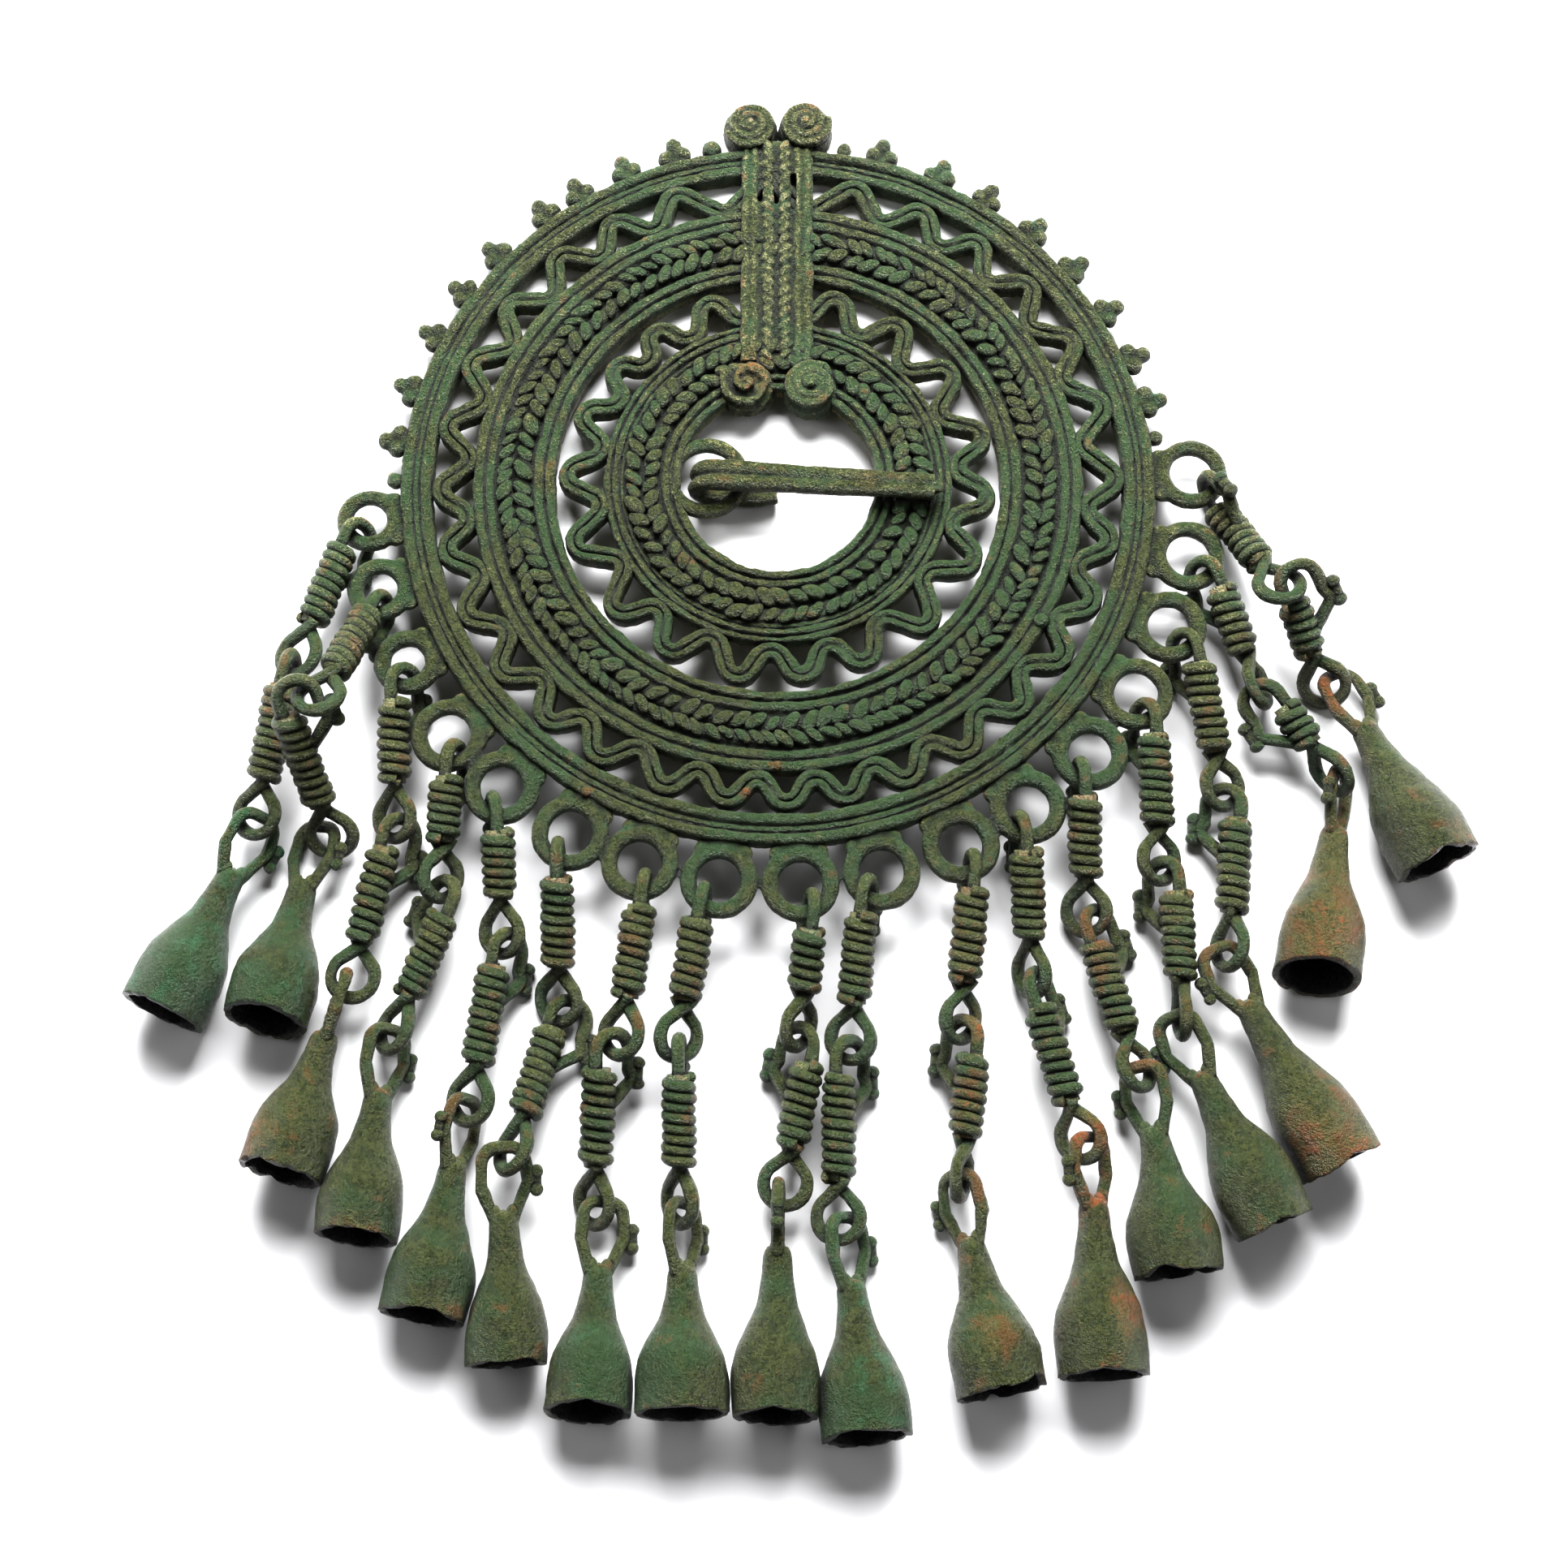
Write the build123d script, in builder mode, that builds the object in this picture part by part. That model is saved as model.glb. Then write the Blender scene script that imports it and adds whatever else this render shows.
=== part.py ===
from build123d import *
from collections import namedtuple
from math import acos, cos, degrees, radians, sin
import os

# An annular brooch of cast copper alloy, lying face up with its row of bells spread out below it.
# Millimetres. X runs to the right, Y towards the top of the brooch, Z up from the floor.

os.makedirs("parts", exist_ok=True)

# The plate leans: its upper edge is down on the floor and its lower edge stands on the links below it.
PLATE_TILT = 2.6
PLATE_REACH = 60.0
PLATE_LIFT = PLATE_REACH * sin(radians(PLATE_TILT))
bed = Plane(
    origin=(0, 0, PLATE_LIFT),
    x_dir=(1, 0, 0),
    z_dir=(0, sin(radians(PLATE_TILT)), cos(radians(PLATE_TILT))),
)

# Ring bands: a flat back, upright sides and a row of half round crests on the deck.
DECK = 2.0
Crest = namedtuple("Crest", "radius half rise")
Band = namedtuple("Band", "inner outer crests")
OUTER_BAND = Band(50.2, 54.8, [
    Crest(53.85, 0.85, 0.75),
    Crest(52.45, 0.45, 0.35),
    Crest(51.1, 0.8, 0.7),
])
MIDDLE_BAND = Band(32.4, 44.4, [
    Crest(43.45, 0.85, 0.65),
    Crest(41.75, 0.8, 0.6),
    Crest(39.4, 1.0, 0.9),
    Crest(37.1, 1.0, 0.9),
    Crest(34.75, 0.8, 0.6),
    Crest(33.15, 0.65, 0.6),
])
INNER_BAND = Band(14.2, 25.3, [
    Crest(24.75, 0.5, 0.5),
    Crest(23.6, 0.5, 0.5),
    Crest(21.1, 1.0, 0.9),
    Crest(18.5, 1.0, 0.9),
    Crest(16.35, 0.65, 0.6),
    Crest(14.9, 0.6, 0.6),
])

# Pierced zones: a zigzag ribbon between two bands. Angles are those of its outer peaks.
Zone = namedtuple("Zone", "outer inner flat half peaks")
ZONES = [
    Zone(49.1, 45.3, 1.2, 1.15, [
        0, 14, 27, 40, 52, 63.5, 76, 92, 108.5, 120.5, 132, 145, 157.5, 170, 182, 193, 205, 217, 228.5,
        239, 251, 261.5, 271.5, 281.5, 292, 303, 314.5, 326, 337, 348.5,
    ]),
    Zone(31.8, 26.1, 1.25, 1.0, [
        -5, 13, 34, 54, 73, 92, 110, 128, 143, 160, 178.5, 199, 221, 239, 259, 277, 294, 314, 336,
    ]),
]
ZIGZAG_TOP = 2.7
CORNER_CUT = 0.6
GROOVE_HALF = 0.2
GROOVE_DEPTH = 0.7

# Strip across the plate above the centre hole, with three slots through it near its top.
STRIP_START = 19.0
STRIP_END = 55.5
STRIP_LEFT = -5.6
STRIP_RIGHT = 5.3
STRIP_DECK = 2.5
STRIP_CRESTS = [(-4.9, 0.6), (-3.5, 0.6), (-1.5, 1.15), (1.0, 1.15), (3.1, 0.6), (4.5, 0.6)]
STRIP_RISE = 0.7
STRIP_SLOTS = [(-2.75, 46.4, 2.0), (-0.25, 46.6, 3.2), (2.35, 47.2, 6.0)]
SLOT_WIDTH = 0.7

# Coiled bosses: two on the upper edge and two on the edge of the centre hole.
BOSSES = [(-4.25, 58.3), (4.15, 58.5), (-4.5, 15.0), (4.9, 14.5)]
BOSS_BACK = 0.15
BOSS_PROFILE = [
    (4.4, 0.15), (4.4, 1.9), (3.85, 2.65), (3.1, 2.5), (2.6, 3.4),
    (1.9, 3.2), (1.45, 4.05), (0.9, 3.9), (0.55, 4.5), (0, 4.7),
]

# Nubs of three balls and of one ball around the upper edge. Each ball's seam is turned away from the others.
TREBLE_NUBS = [13, 20.5, 29, 38, 46.5, 55.5, 64, 73.5, 106.5, 114.5, 122.5, 129, 139, 147, 155.5, 165, 173.5]
SINGLE_NUBS = [7, 79.5, 100.5, 180]
NUB_BALL = 1.3
NUB_REACH = 55.7
NUB_SPREAD = 1.25
NUB_STEP = 1.9
NUB_HEIGHT = 1.5
NUB_SEAM = 100

# Loops around the lower edge, and the short feet that join them to the plate.
RimLoop = namedtuple("RimLoop", "angle reach radius")
RIM_LOOPS = [
    RimLoop(186.0, 59.4, 3.6),
    RimLoop(196.5, 59.4, 3.6),
    RimLoop(208.0, 59.4, 3.6),
    RimLoop(220.0, 60.2, 4.2),
    RimLoop(230.3, 60.2, 4.2),
    RimLoop(241.5, 60.2, 4.2),
    RimLoop(251.6, 60.2, 4.2),
    RimLoop(262.3, 60.2, 4.2),
    RimLoop(273.0, 60.2, 4.2),
    RimLoop(283.8, 60.2, 4.2),
    RimLoop(294.9, 60.2, 4.2),
    RimLoop(305.3, 60.2, 4.2),
    RimLoop(316.6, 60.2, 4.2),
    RimLoop(327.2, 60.2, 4.2),
    RimLoop(338.0, 60.2, 4.2),
    RimLoop(348.8, 60.2, 4.2),
    RimLoop(361.0, 60.2, 4.2),
]
RIM_WIRE = 1.05
RIM_HEIGHT = 1.35
RIM_FOOT = (2.2, 3.4, 1.7)
RIM_FOOT_REACH = 55.3

# Hinge ring at the left of the centre hole and the pin folded around its free side.
RING_CENTRE = (-10.4, 0.5)
RING_RADIUS = 5.2
RING_WIRE = 1.1
RING_HEIGHT = 1.3
PIN_AXIS = (-5.4, -0.5)
PIN_TURN = -3.6
STRAND = 1.2
STRAND_SPREAD = 1.15
PIN_HIGH = 3.1
PIN_LOW = -2.6
PIN_BEND = -3.6
PIN_TAIL = 5.4
PIN_TIP = 28.4


def polar(radius, angle):
    return (radius * cos(radians(angle)), radius * sin(radians(angle)))


def zigzag(zone):
    """Corners of the wave: a short flat at each peak, then every corner cut off once."""
    corners = []
    following = zone.peaks[1:] + [zone.peaks[0] + 360]
    for here, there in zip(zone.peaks, following):
        wide = degrees(zone.flat / zone.outer)
        narrow = degrees(zone.flat / zone.inner)
        middle = (here + there) / 2
        corners.append(polar(zone.outer, here - wide))
        corners.append(polar(zone.outer, here + wide))
        corners.append(polar(zone.inner, middle - narrow))
        corners.append(polar(zone.inner, middle + narrow))
    cut = []
    for before, corner, after in zip(corners[-1:] + corners[:-1], corners, corners[1:] + corners[:1]):
        here = Vector(*corner)
        for other in (before, after):
            near = here + (Vector(*other) - here).normalized() * CORNER_CUT
            cut.append((near.X, near.Y))
    return cut


def moved_out(corners, amount):
    """A closed polygon with every side moved outwards by the same amount, its corners kept sharp."""
    count = len(corners)
    normals = []
    for index in range(count):
        start = Vector(*corners[index])
        end = Vector(*corners[(index + 1) % count])
        side = (end - start).normalized()
        normals.append(Vector(side.Y, -side.X))
    moved = []
    for index in range(count):
        before = normals[index - 1]
        after = normals[index]
        corner = Vector(*corners[index]) + (before + after) * (amount / (1 + before.dot(after)))
        moved.append((corner.X, corner.Y))
    return moved


def trace_band(band):
    """Outline of a ring band in X and Z, crests from the outside in."""
    Line((band.inner, 0), (band.outer, 0))
    Line((band.outer, 0), (band.outer, DECK))
    last = (band.outer, DECK)
    for crest in band.crests:
        start = (crest.radius + crest.half, DECK)
        top = (crest.radius, DECK + crest.rise)
        end = (crest.radius - crest.half, DECK)
        if last[0] - start[0] > 0.01:
            Line(last, start)
            last = start
        ThreePointArc(last, top, end)
        last = end
    Line(last, (band.inner, DECK))
    Line((band.inner, DECK), (band.inner, 0))


def trace_strip():
    """Outline of the strip in X and Z: a flat back and a ridge for each wire and each cord."""
    Line((STRIP_LEFT, 0), (STRIP_LEFT, STRIP_DECK))
    last = (STRIP_LEFT, STRIP_DECK)
    for centre, half in STRIP_CRESTS:
        Line(last, (centre - half, STRIP_DECK))
        last = (centre + half, STRIP_DECK)
        ThreePointArc((centre - half, STRIP_DECK), (centre, STRIP_DECK + STRIP_RISE), last)
    Line(last, (STRIP_RIGHT, STRIP_DECK))
    Line((STRIP_RIGHT, STRIP_DECK), (STRIP_RIGHT, 0))
    Line((STRIP_RIGHT, 0), (STRIP_LEFT, 0))


def ball_place(reach, angle, seam):
    return Location((*polar(reach, angle), NUB_HEIGHT), (0, 0, seam))


def nub_balls():
    """Places of all the balls around the upper edge."""
    step = degrees(NUB_SPREAD / NUB_REACH)
    balls = [ball_place(NUB_REACH, angle, angle) for angle in SINGLE_NUBS]
    for angle in TREBLE_NUBS:
        balls.append(ball_place(NUB_REACH, angle - step, angle - NUB_SEAM))
        balls.append(ball_place(NUB_REACH, angle + step, angle + NUB_SEAM))
        balls.append(ball_place(NUB_REACH + NUB_STEP, angle, angle))
    return balls


def rim_foot(loop):
    return Location((*polar(RIM_FOOT_REACH, loop.angle), RIM_HEIGHT), (0, 0, loop.angle))


def trace_boss(x):
    """Half outline of a coiled boss in X and Z, each turn of the coil a step higher."""
    Line((x, BOSS_BACK), (x + BOSS_PROFILE[0][0], BOSS_BACK))
    Polyline(*[(x + out, up) for out, up in BOSS_PROFILE])
    Line((x, BOSS_PROFILE[-1][1]), (x, BOSS_BACK))


with BuildPart() as plate:
    for band in (OUTER_BAND, MIDDLE_BAND, INNER_BAND):
        with BuildSketch(Plane.XZ):
            with BuildLine():
                trace_band(band)
            make_face()
        revolve(axis=Axis.Z)
    for zone in ZONES:
        corners = zigzag(zone)
        with BuildSketch():
            with BuildLine():
                Polyline(*moved_out(corners, zone.half), close=True)
            make_face()
            with BuildLine():
                Polyline(*moved_out(corners, -zone.half), close=True)
            make_face(mode=Mode.SUBTRACT)
        extrude(amount=ZIGZAG_TOP)
        with BuildSketch(Plane.XY.offset(ZIGZAG_TOP)):
            with BuildLine():
                Polyline(*moved_out(corners, GROOVE_HALF), close=True)
            make_face()
            with BuildLine():
                Polyline(*moved_out(corners, -GROOVE_HALF), close=True)
            make_face(mode=Mode.SUBTRACT)
        extrude(amount=-GROOVE_DEPTH, mode=Mode.SUBTRACT)
    with BuildSketch(Plane.XZ.offset(-STRIP_START)):
        with BuildLine():
            trace_strip()
        make_face()
    extrude(amount=STRIP_START - STRIP_END)
    for x, y, length in STRIP_SLOTS:
        with Locations((x, y, STRIP_DECK / 2)):
            Box(SLOT_WIDTH, length, 4 * STRIP_DECK, mode=Mode.SUBTRACT)
    for x, y in BOSSES:
        with BuildSketch(Plane.XZ.offset(-y)):
            with BuildLine():
                trace_boss(x)
            make_face()
        revolve(axis=Axis((x, y, 0), (0, 0, 1)))
    with Locations(*nub_balls()):
        Sphere(NUB_BALL)
    for size in sorted({loop.radius for loop in RIM_LOOPS}):
        alike = [loop for loop in RIM_LOOPS if loop.radius == size]
        with Locations(*[(*polar(loop.reach, loop.angle), RIM_HEIGHT) for loop in alike]):
            Torus(size, RIM_WIRE)
    with Locations(*[rim_foot(loop) for loop in RIM_LOOPS]):
        Box(*RIM_FOOT)
    with Locations((*RING_CENTRE, RING_HEIGHT)):
        Torus(RING_RADIUS, RING_WIRE)

plate.part.label = "plate"
plate.part.locate(bed.location)
export_step(plate.part, "parts/plate.step")

# The pin: two strands side by side, from the tail under the hinge ring, around it and out to the tip.
pin_along = Vector(cos(radians(PIN_TURN)), sin(radians(PIN_TURN)), 0)
pin_side = Plane(
    origin=(*PIN_AXIS, RING_HEIGHT),
    x_dir=pin_along,
    z_dir=pin_along.cross(Vector(0, 0, 1)),
)

with BuildPart() as pin:
    for shift in (-STRAND_SPREAD, STRAND_SPREAD):
        with BuildLine(pin_side.offset(shift)) as strand:
            Line((PIN_TAIL, PIN_LOW), (PIN_BEND, PIN_LOW))
            middle = (PIN_HIGH + PIN_LOW) / 2
            ThreePointArc((PIN_BEND, PIN_LOW), (PIN_BEND - PIN_HIGH + middle, middle), (PIN_BEND, PIN_HIGH))
            Line((PIN_BEND, PIN_HIGH), (PIN_TIP, PIN_HIGH))
        with BuildSketch(Plane(origin=strand.wires()[0] @ 0, z_dir=strand.wires()[0] % 0)):
            Circle(STRAND)
        sweep(path=strand.wires()[0])
        with Locations(Location(strand.wires()[0] @ 0), Location(strand.wires()[0] @ 1)):
            Sphere(STRAND)

pin.part.label = "pin"
pin.part.locate(bed.location)
export_step(pin.part, "parts/pin.step")

# A link: a wound body, an eye with a crossbar spur at its upper end and a foot ring at its lower end.
# The eye lies in a plane with the body's axis: U outwards on the spur's side, V back from the body.
LINK_WAIST = 1.8
LINK_BULGE = 2.3
LINK_TURN = 1.65
EYE_WIRE = 0.75
EYE_PATH = [(-0.65, -1.0), (-0.65, 4.35), (4.65, 4.35), (4.65, -0.6), (5.4, -2.0), (1.1, -6.0)]
EYE_FILLETS = [2.5, 2.5, 1.0, 1.1]
EYE_SEAT = (2.0, 1.7)
SPUR = 6.2
SPUR_TOP = 0.9
SPUR_END = -3.6
SPUR_NECK = 0.65
SPUR_LOBE = 0.9
FOOT_WIRE = 0.85
FOOT_RADIUS = 2.95
FOOT_REACH = 4.6
FOOT_ROOT = 0.5

# A bell: a long neck, a flared open body and a wire eye with its own crossbar spur.
# Shares of the bell's length down the outside and the inside, and the radius at each below its neck.
# A bell's own girth widens all of it below the neck.
BELL_OUTSIDE = [(0.0, 2.1), (0.2, 2.4), (0.4, 3.6), (0.6, 5.25), (0.75, 5.65)]
BELL_INSIDE = [(0.36, 0.0), (0.36, 1.7), (0.45, 3.0), (0.61, 4.2), (0.75, 4.65)]
BELL_NECK = 0.25
BELL_WALL = 0.95
BELL_SMOOTH = 1.6
BELL_EYE_WIRE = 0.85
BELL_EYE_PATH = [(-1.15, -0.8), (-2.9, 3.6), (-2.7, 8.8), (2.7, 8.8), (3.4, 4.4), (1.15, -0.8)]
BELL_EYE_FILLETS = [1.5, 2.0, 2.0, 1.5]
BELL_SEAT = 6.0
BELL_SPUR = 4.5
BELL_SPUR_TOP = 6.4
BELL_SPUR_END = 2.2

# Each chain starts at its rim loop: seat is where in the loop the eye hangs, and turns are headings in plan.
# Drop is how steeply a piece falls, eye and ring are its two rolls and seat is where in the ring the next hangs.
Link = namedtuple("Link", "length turn drop eye ring seat")
Bell = namedtuple("Bell", "length turn rise eye girth mouth bevel")
SEATS = [
    -117.3, -88.4, -95.8, -77.0, -103.1, -112.0, -83.4, -122.9, -71.4,
    -119.5, -71.4, -105.9, -110.0, -75.4, -60.0, -57.6, -43.8,
]
UPPER = [
    Link(12.7, -108.6, -0.9, -59.6, 24.5, -7.5),
    Link(13.0, -107.9, -28.1, -72.3, 14.5, -68.4),
    Link(12.3, -89.1, 10.0, -56.1, 31.5, 16.9),
    Link(9.7, -92.8, 9.1, -71.9, -48.7, 4.5),
    Link(9.8, -86.8, 12.6, -105.6, 30.9, 15.8),
    Link(12.9, -89.9, 18.6, -92.2, 25.6, 32.0),
    Link(13.1, -97.5, 4.8, -90.1, 33.6, -21.2),
    Link(11.7, -99.0, 5.1, -85.9, -37.1, 14.1),
    Link(9.0, -97.4, 14.6, -101.1, -55.6, 5.4),
    Link(12.8, -95.1, 11.3, -72.2, 25.5, 2.6),
    Link(13.5, -95.7, 10.1, -97.4, -42.4, 13.4),
    Link(12.6, -87.3, 12.6, -101.7, 57.0, 34.5),
    Link(11.8, -88.9, 14.7, -95.8, 30.1, 40.3),
    Link(13.3, -88.9, 6.8, -116.3, -33.0, 13.2),
    Link(13.5, -79.2, 9.8, -119.7, -27.7, -12.0),
    Link(10.6, -70.3, 6.1, -124.5, -56.1, -16.7),
    Link(12.3, -64.9, -25.8, 84.5, -10.8, 74.1),
]
LOWER = [
    Link(14.1, -99.8, 8.1, -86.2, 15.8, -2.7),
    Link(14.3, -73.2, 37.0, -2.5, -170.2, 71.6),
    Link(14.0, -101.0, 0.3, -43.2, -9.8, -22.9),
    Link(12.5, -112.3, 4.7, -140.3, 43.8, 1.1),
    Link(14.1, -98.9, 3.6, -51.2, 27.4, -13.1),
    Link(13.0, -104.5, -10.2, -22.8, 50.3, -21.8),
    Link(13.8, -92.3, 13.5, -38.9, 41.3, 35.0),
    Link(12.6, -89.3, 11.7, -88.2, 50.7, 9.9),
    Link(12.0, -100.2, 3.3, -145.8, 2.7, -8.1),
    Link(14.6, -90.4, 4.8, -41.7, 10.2, 21.9),
    Link(11.8, -96.2, 2.1, -137.8, 109.3, -19.8),
    Link(14.0, -73.2, 2.3, -53.8, 36.0, 8.7),
    Link(13.3, -73.6, -1.2, -39.0, -44.2, 10.8),
    Link(12.5, -89.8, -0.7, -133.5, 89.0, -20.1),
    Link(13.7, -96.2, -2.4, -147.9, 62.9, -10.2),
    Link(7.2, -55.9, 2.8, -165.3, 73.3, -23.5),
    Link(9.0, -61.9, 26.9, 17.9, 33.1, 47.2),
]
BELLS = [
    Bell(22.0, -112.8, 2.5, -37.2, 1.05, 5.8, 8),
    Bell(21.0, -100.1, 9.6, 23.1, 1.05, 5.8, 8),
    Bell(20.1, -104.4, 4.8, -104.8, 1.04, 5.7, 8),
    Bell(20.2, -95.5, 5.9, -46.8, 1.0, 5.5, 8),
    Bell(21.1, -98.9, 4.8, 121.0, 1.04, 5.7, 8),
    Bell(20.4, -87.3, -1.9, -14.5, 0.94, 5.2, 10),
    Bell(19.8, -92.7, 7.4, -25.7, 1.05, 5.8, 12),
    Bell(19.1, -88.9, 7.4, -55.0, 1.09, 6.0, 6),
    Bell(22.2, -90.8, 7.5, 91.9, 1.0, 5.5, 8),
    Bell(20.7, -84.7, 5.3, -44.4, 1.06, 5.8, 10),
    Bell(20.5, -79.7, 5.9, -138.5, 1.07, 5.9, 6),
    Bell(23.3, -88.6, 0.5, 139.3, 1.08, 5.9, 10),
    Bell(19.5, -82.6, 3.0, -140.5, 1.08, 5.9, 4),
    Bell(21.9, -66.7, 3.5, -143.6, 1.03, 5.7, 0),
    Bell(24.4, -62.7, 2.3, 170.1, 1.03, 5.7, 0),
    Bell(22.9, -101.7, 6.7, 122.9, 1.07, 5.9, 12),
    Bell(22.2, -68.2, 8.1, -18.1, 1.08, 5.9, 0),
]


def heading(turn, drop):
    plan = cos(radians(drop))
    return Vector(cos(radians(turn)) * plan, sin(radians(turn)) * plan, -sin(radians(drop)))


def across(along, roll):
    """A direction square to a piece: level and to its left at roll 0, upwards at roll 90."""
    level = Vector(-along.Y, along.X, 0).normalized()
    return level * cos(radians(roll)) + along.cross(level) * sin(radians(roll))


def trace_spur(u, top, end):
    """Half outline of a crossbar with a lobe at either end."""
    ThreePointArc((u, top), (u + SPUR_LOBE, top - SPUR_LOBE), (u + SPUR_NECK, top - 1.7))
    Line((u + SPUR_NECK, top - 1.7), (u + SPUR_NECK, end + 1.7))
    ThreePointArc((u + SPUR_NECK, end + 1.7), (u + SPUR_LOBE, end + SPUR_LOBE), (u, end))
    Line((u, end), (u, top))


def rim_seat(loop, seat):
    """Point on a rim loop's wire where the first link of its chain hangs."""
    x, y = polar(loop.reach, loop.angle)
    u, v = polar(loop.radius, seat)
    return bed.from_local_coords(Vector(x + u, y + v, RIM_HEIGHT))


def frame_of(origin, along, side):
    """A piece's own frame: X to the spur's side and Z back up the piece."""
    return Plane(origin=origin, x_dir=side, z_dir=-along)


def make_link(name, hook, row):
    """Build one link hanging from the wire at hook and return where the next piece hangs."""
    along = heading(row.turn, row.drop)
    spur = across(along, row.eye)
    top = hook + along * EYE_SEAT[1] - spur * EYE_SEAT[0]
    turns = round(row.length / LINK_TURN)
    pitch = row.length / turns
    foot = row.length + FOOT_REACH
    root = FOOT_REACH + FOOT_ROOT
    lean = acos(FOOT_RADIUS / root)
    touch = (FOOT_RADIUS * sin(lean), FOOT_RADIUS * cos(lean))
    roll = radians(row.ring - row.eye)
    ring_side = Vector(cos(roll), -sin(roll), 0)
    ring_sheet = Plane(origin=(0, 0, -foot), x_dir=ring_side, z_dir=ring_side.cross(Vector(0, 0, 1)))
    with BuildPart() as link:
        with BuildSketch(Plane.XZ):
            with BuildLine():
                Line((0, 0), (LINK_WAIST, 0))
                for turn in range(turns):
                    ThreePointArc(
                        (LINK_WAIST, -turn * pitch),
                        (LINK_BULGE, -(turn + 0.5) * pitch),
                        (LINK_WAIST, -(turn + 1) * pitch),
                    )
                Line((LINK_WAIST, -row.length), (0, -row.length))
                Line((0, -row.length), (0, 0))
            make_face()
        revolve(axis=Axis.Z)
        with BuildLine(Plane.XZ) as eye:
            FilletPolyline(*EYE_PATH, radius=EYE_FILLETS)
        with BuildSketch(Plane(origin=eye.wires()[0] @ 0, z_dir=eye.wires()[0] % 0)):
            Circle(EYE_WIRE)
        sweep(path=eye.wires()[0])
        with BuildSketch(Plane.XZ):
            with BuildLine():
                trace_spur(SPUR, SPUR_TOP, SPUR_END)
            make_face()
        revolve(axis=Axis((SPUR, 0, 0), (0, 0, 1)))
        for hand in (-1, 1):
            with BuildLine(ring_sheet) as shank:
                Line((0, root), (hand * touch[0], touch[1]))
                ThreePointArc((hand * touch[0], touch[1]), (hand * FOOT_RADIUS, 0), (0, -FOOT_RADIUS))
            with BuildSketch(Plane(origin=shank.wires()[0] @ 0, z_dir=shank.wires()[0] % 0)):
                Circle(FOOT_WIRE)
            sweep(path=shank.wires()[0])
    link.part.label = name
    link.part.locate(frame_of(top, along, spur).location)
    export_step(link.part, f"parts/{name}.step")
    seat = radians(row.seat)
    hang = along * (foot + FOOT_RADIUS * cos(seat)) + across(along, row.ring) * (FOOT_RADIUS * sin(seat))
    return top + hang


def bell_side(table, row):
    """Corners down one side of a bell's wall, in X and Z."""
    return [(radius * (row.girth if share > BELL_NECK else 1), -share * row.length) for share, radius in table]


def make_bell(name, hook, row):
    """Build one bell hanging from the wire at hook, its mouth cut a little aslant."""
    along = heading(row.turn, -row.rise)
    spur = across(along, row.eye)
    top = hook + along * BELL_SEAT
    place = frame_of(top, along, spur)
    outside = bell_side(BELL_OUTSIDE, row)
    inside = bell_side(BELL_INSIDE, row)
    outside.append((row.mouth, -row.length))
    inside.append((row.mouth - BELL_WALL, -row.length))
    up = place.to_local_coords(place.origin + across(along, 90))
    slant = up * sin(radians(row.bevel)) - Vector(0, 0, cos(radians(row.bevel)))
    with BuildPart() as bell:
        with BuildSketch(Plane.XZ):
            with BuildLine():
                Line((0, 0), outside[0])
                FilletPolyline(*outside, radius=BELL_SMOOTH)
                Line(outside[-1], inside[-1])
                FilletPolyline(*inside, radius=BELL_SMOOTH)
                Line(inside[0], (0, 0))
            make_face()
        revolve(axis=Axis.Z)
        if row.bevel > 0:
            lip = Vector(0, 0, -row.length) - up * row.mouth
            split(bisect_by=Plane(origin=lip, z_dir=slant), keep=Keep.BOTTOM)
        with BuildLine(Plane.XZ) as eye:
            FilletPolyline(*BELL_EYE_PATH, radius=BELL_EYE_FILLETS)
        with BuildSketch(Plane(origin=eye.wires()[0] @ 0, z_dir=eye.wires()[0] % 0)):
            Circle(BELL_EYE_WIRE)
        sweep(path=eye.wires()[0])
        with BuildSketch(Plane.XZ):
            with BuildLine():
                trace_spur(BELL_SPUR, BELL_SPUR_TOP, BELL_SPUR_END)
            make_face()
        revolve(axis=Axis((BELL_SPUR, 0, 0), (0, 0, 1)))
    bell.part.label = name
    bell.part.locate(place.location)
    export_step(bell.part, f"parts/{name}.step")


for number, (loop, seat, upper, lower, bell) in enumerate(zip(RIM_LOOPS, SEATS, UPPER, LOWER, BELLS), start=1):
    hook = rim_seat(loop, seat)
    hook = make_link(f"upper_link_{number}", hook, upper)
    hook = make_link(f"lower_link_{number}", hook, lower)
    make_bell(f"bell_{number}", hook, bell)
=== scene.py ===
# %% [markdown]
# # An annular brooch with seventeen hanging bells
# The brooch is one casting of copper alloy that lay in the ground for centuries. A disc of raised wires and
# twisted cords is pierced by two zigzags, a pin turns on a small ring inside it, and chains of wound links
# carry open bells from loops around its lower edge. The CAD frame gives every size and place, so each piece
# here is modelled where its solid lies and then stands for it.

# %% Load the frame
from collections import namedtuple
from math import acos, atan2, cos, degrees, pi, radians, sin, tau
from random import Random

import bmesh
import bpy
import numpy as np
from mathutils import Matrix, Vector, noise
from mathutils.bvhtree import BVHTree


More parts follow.
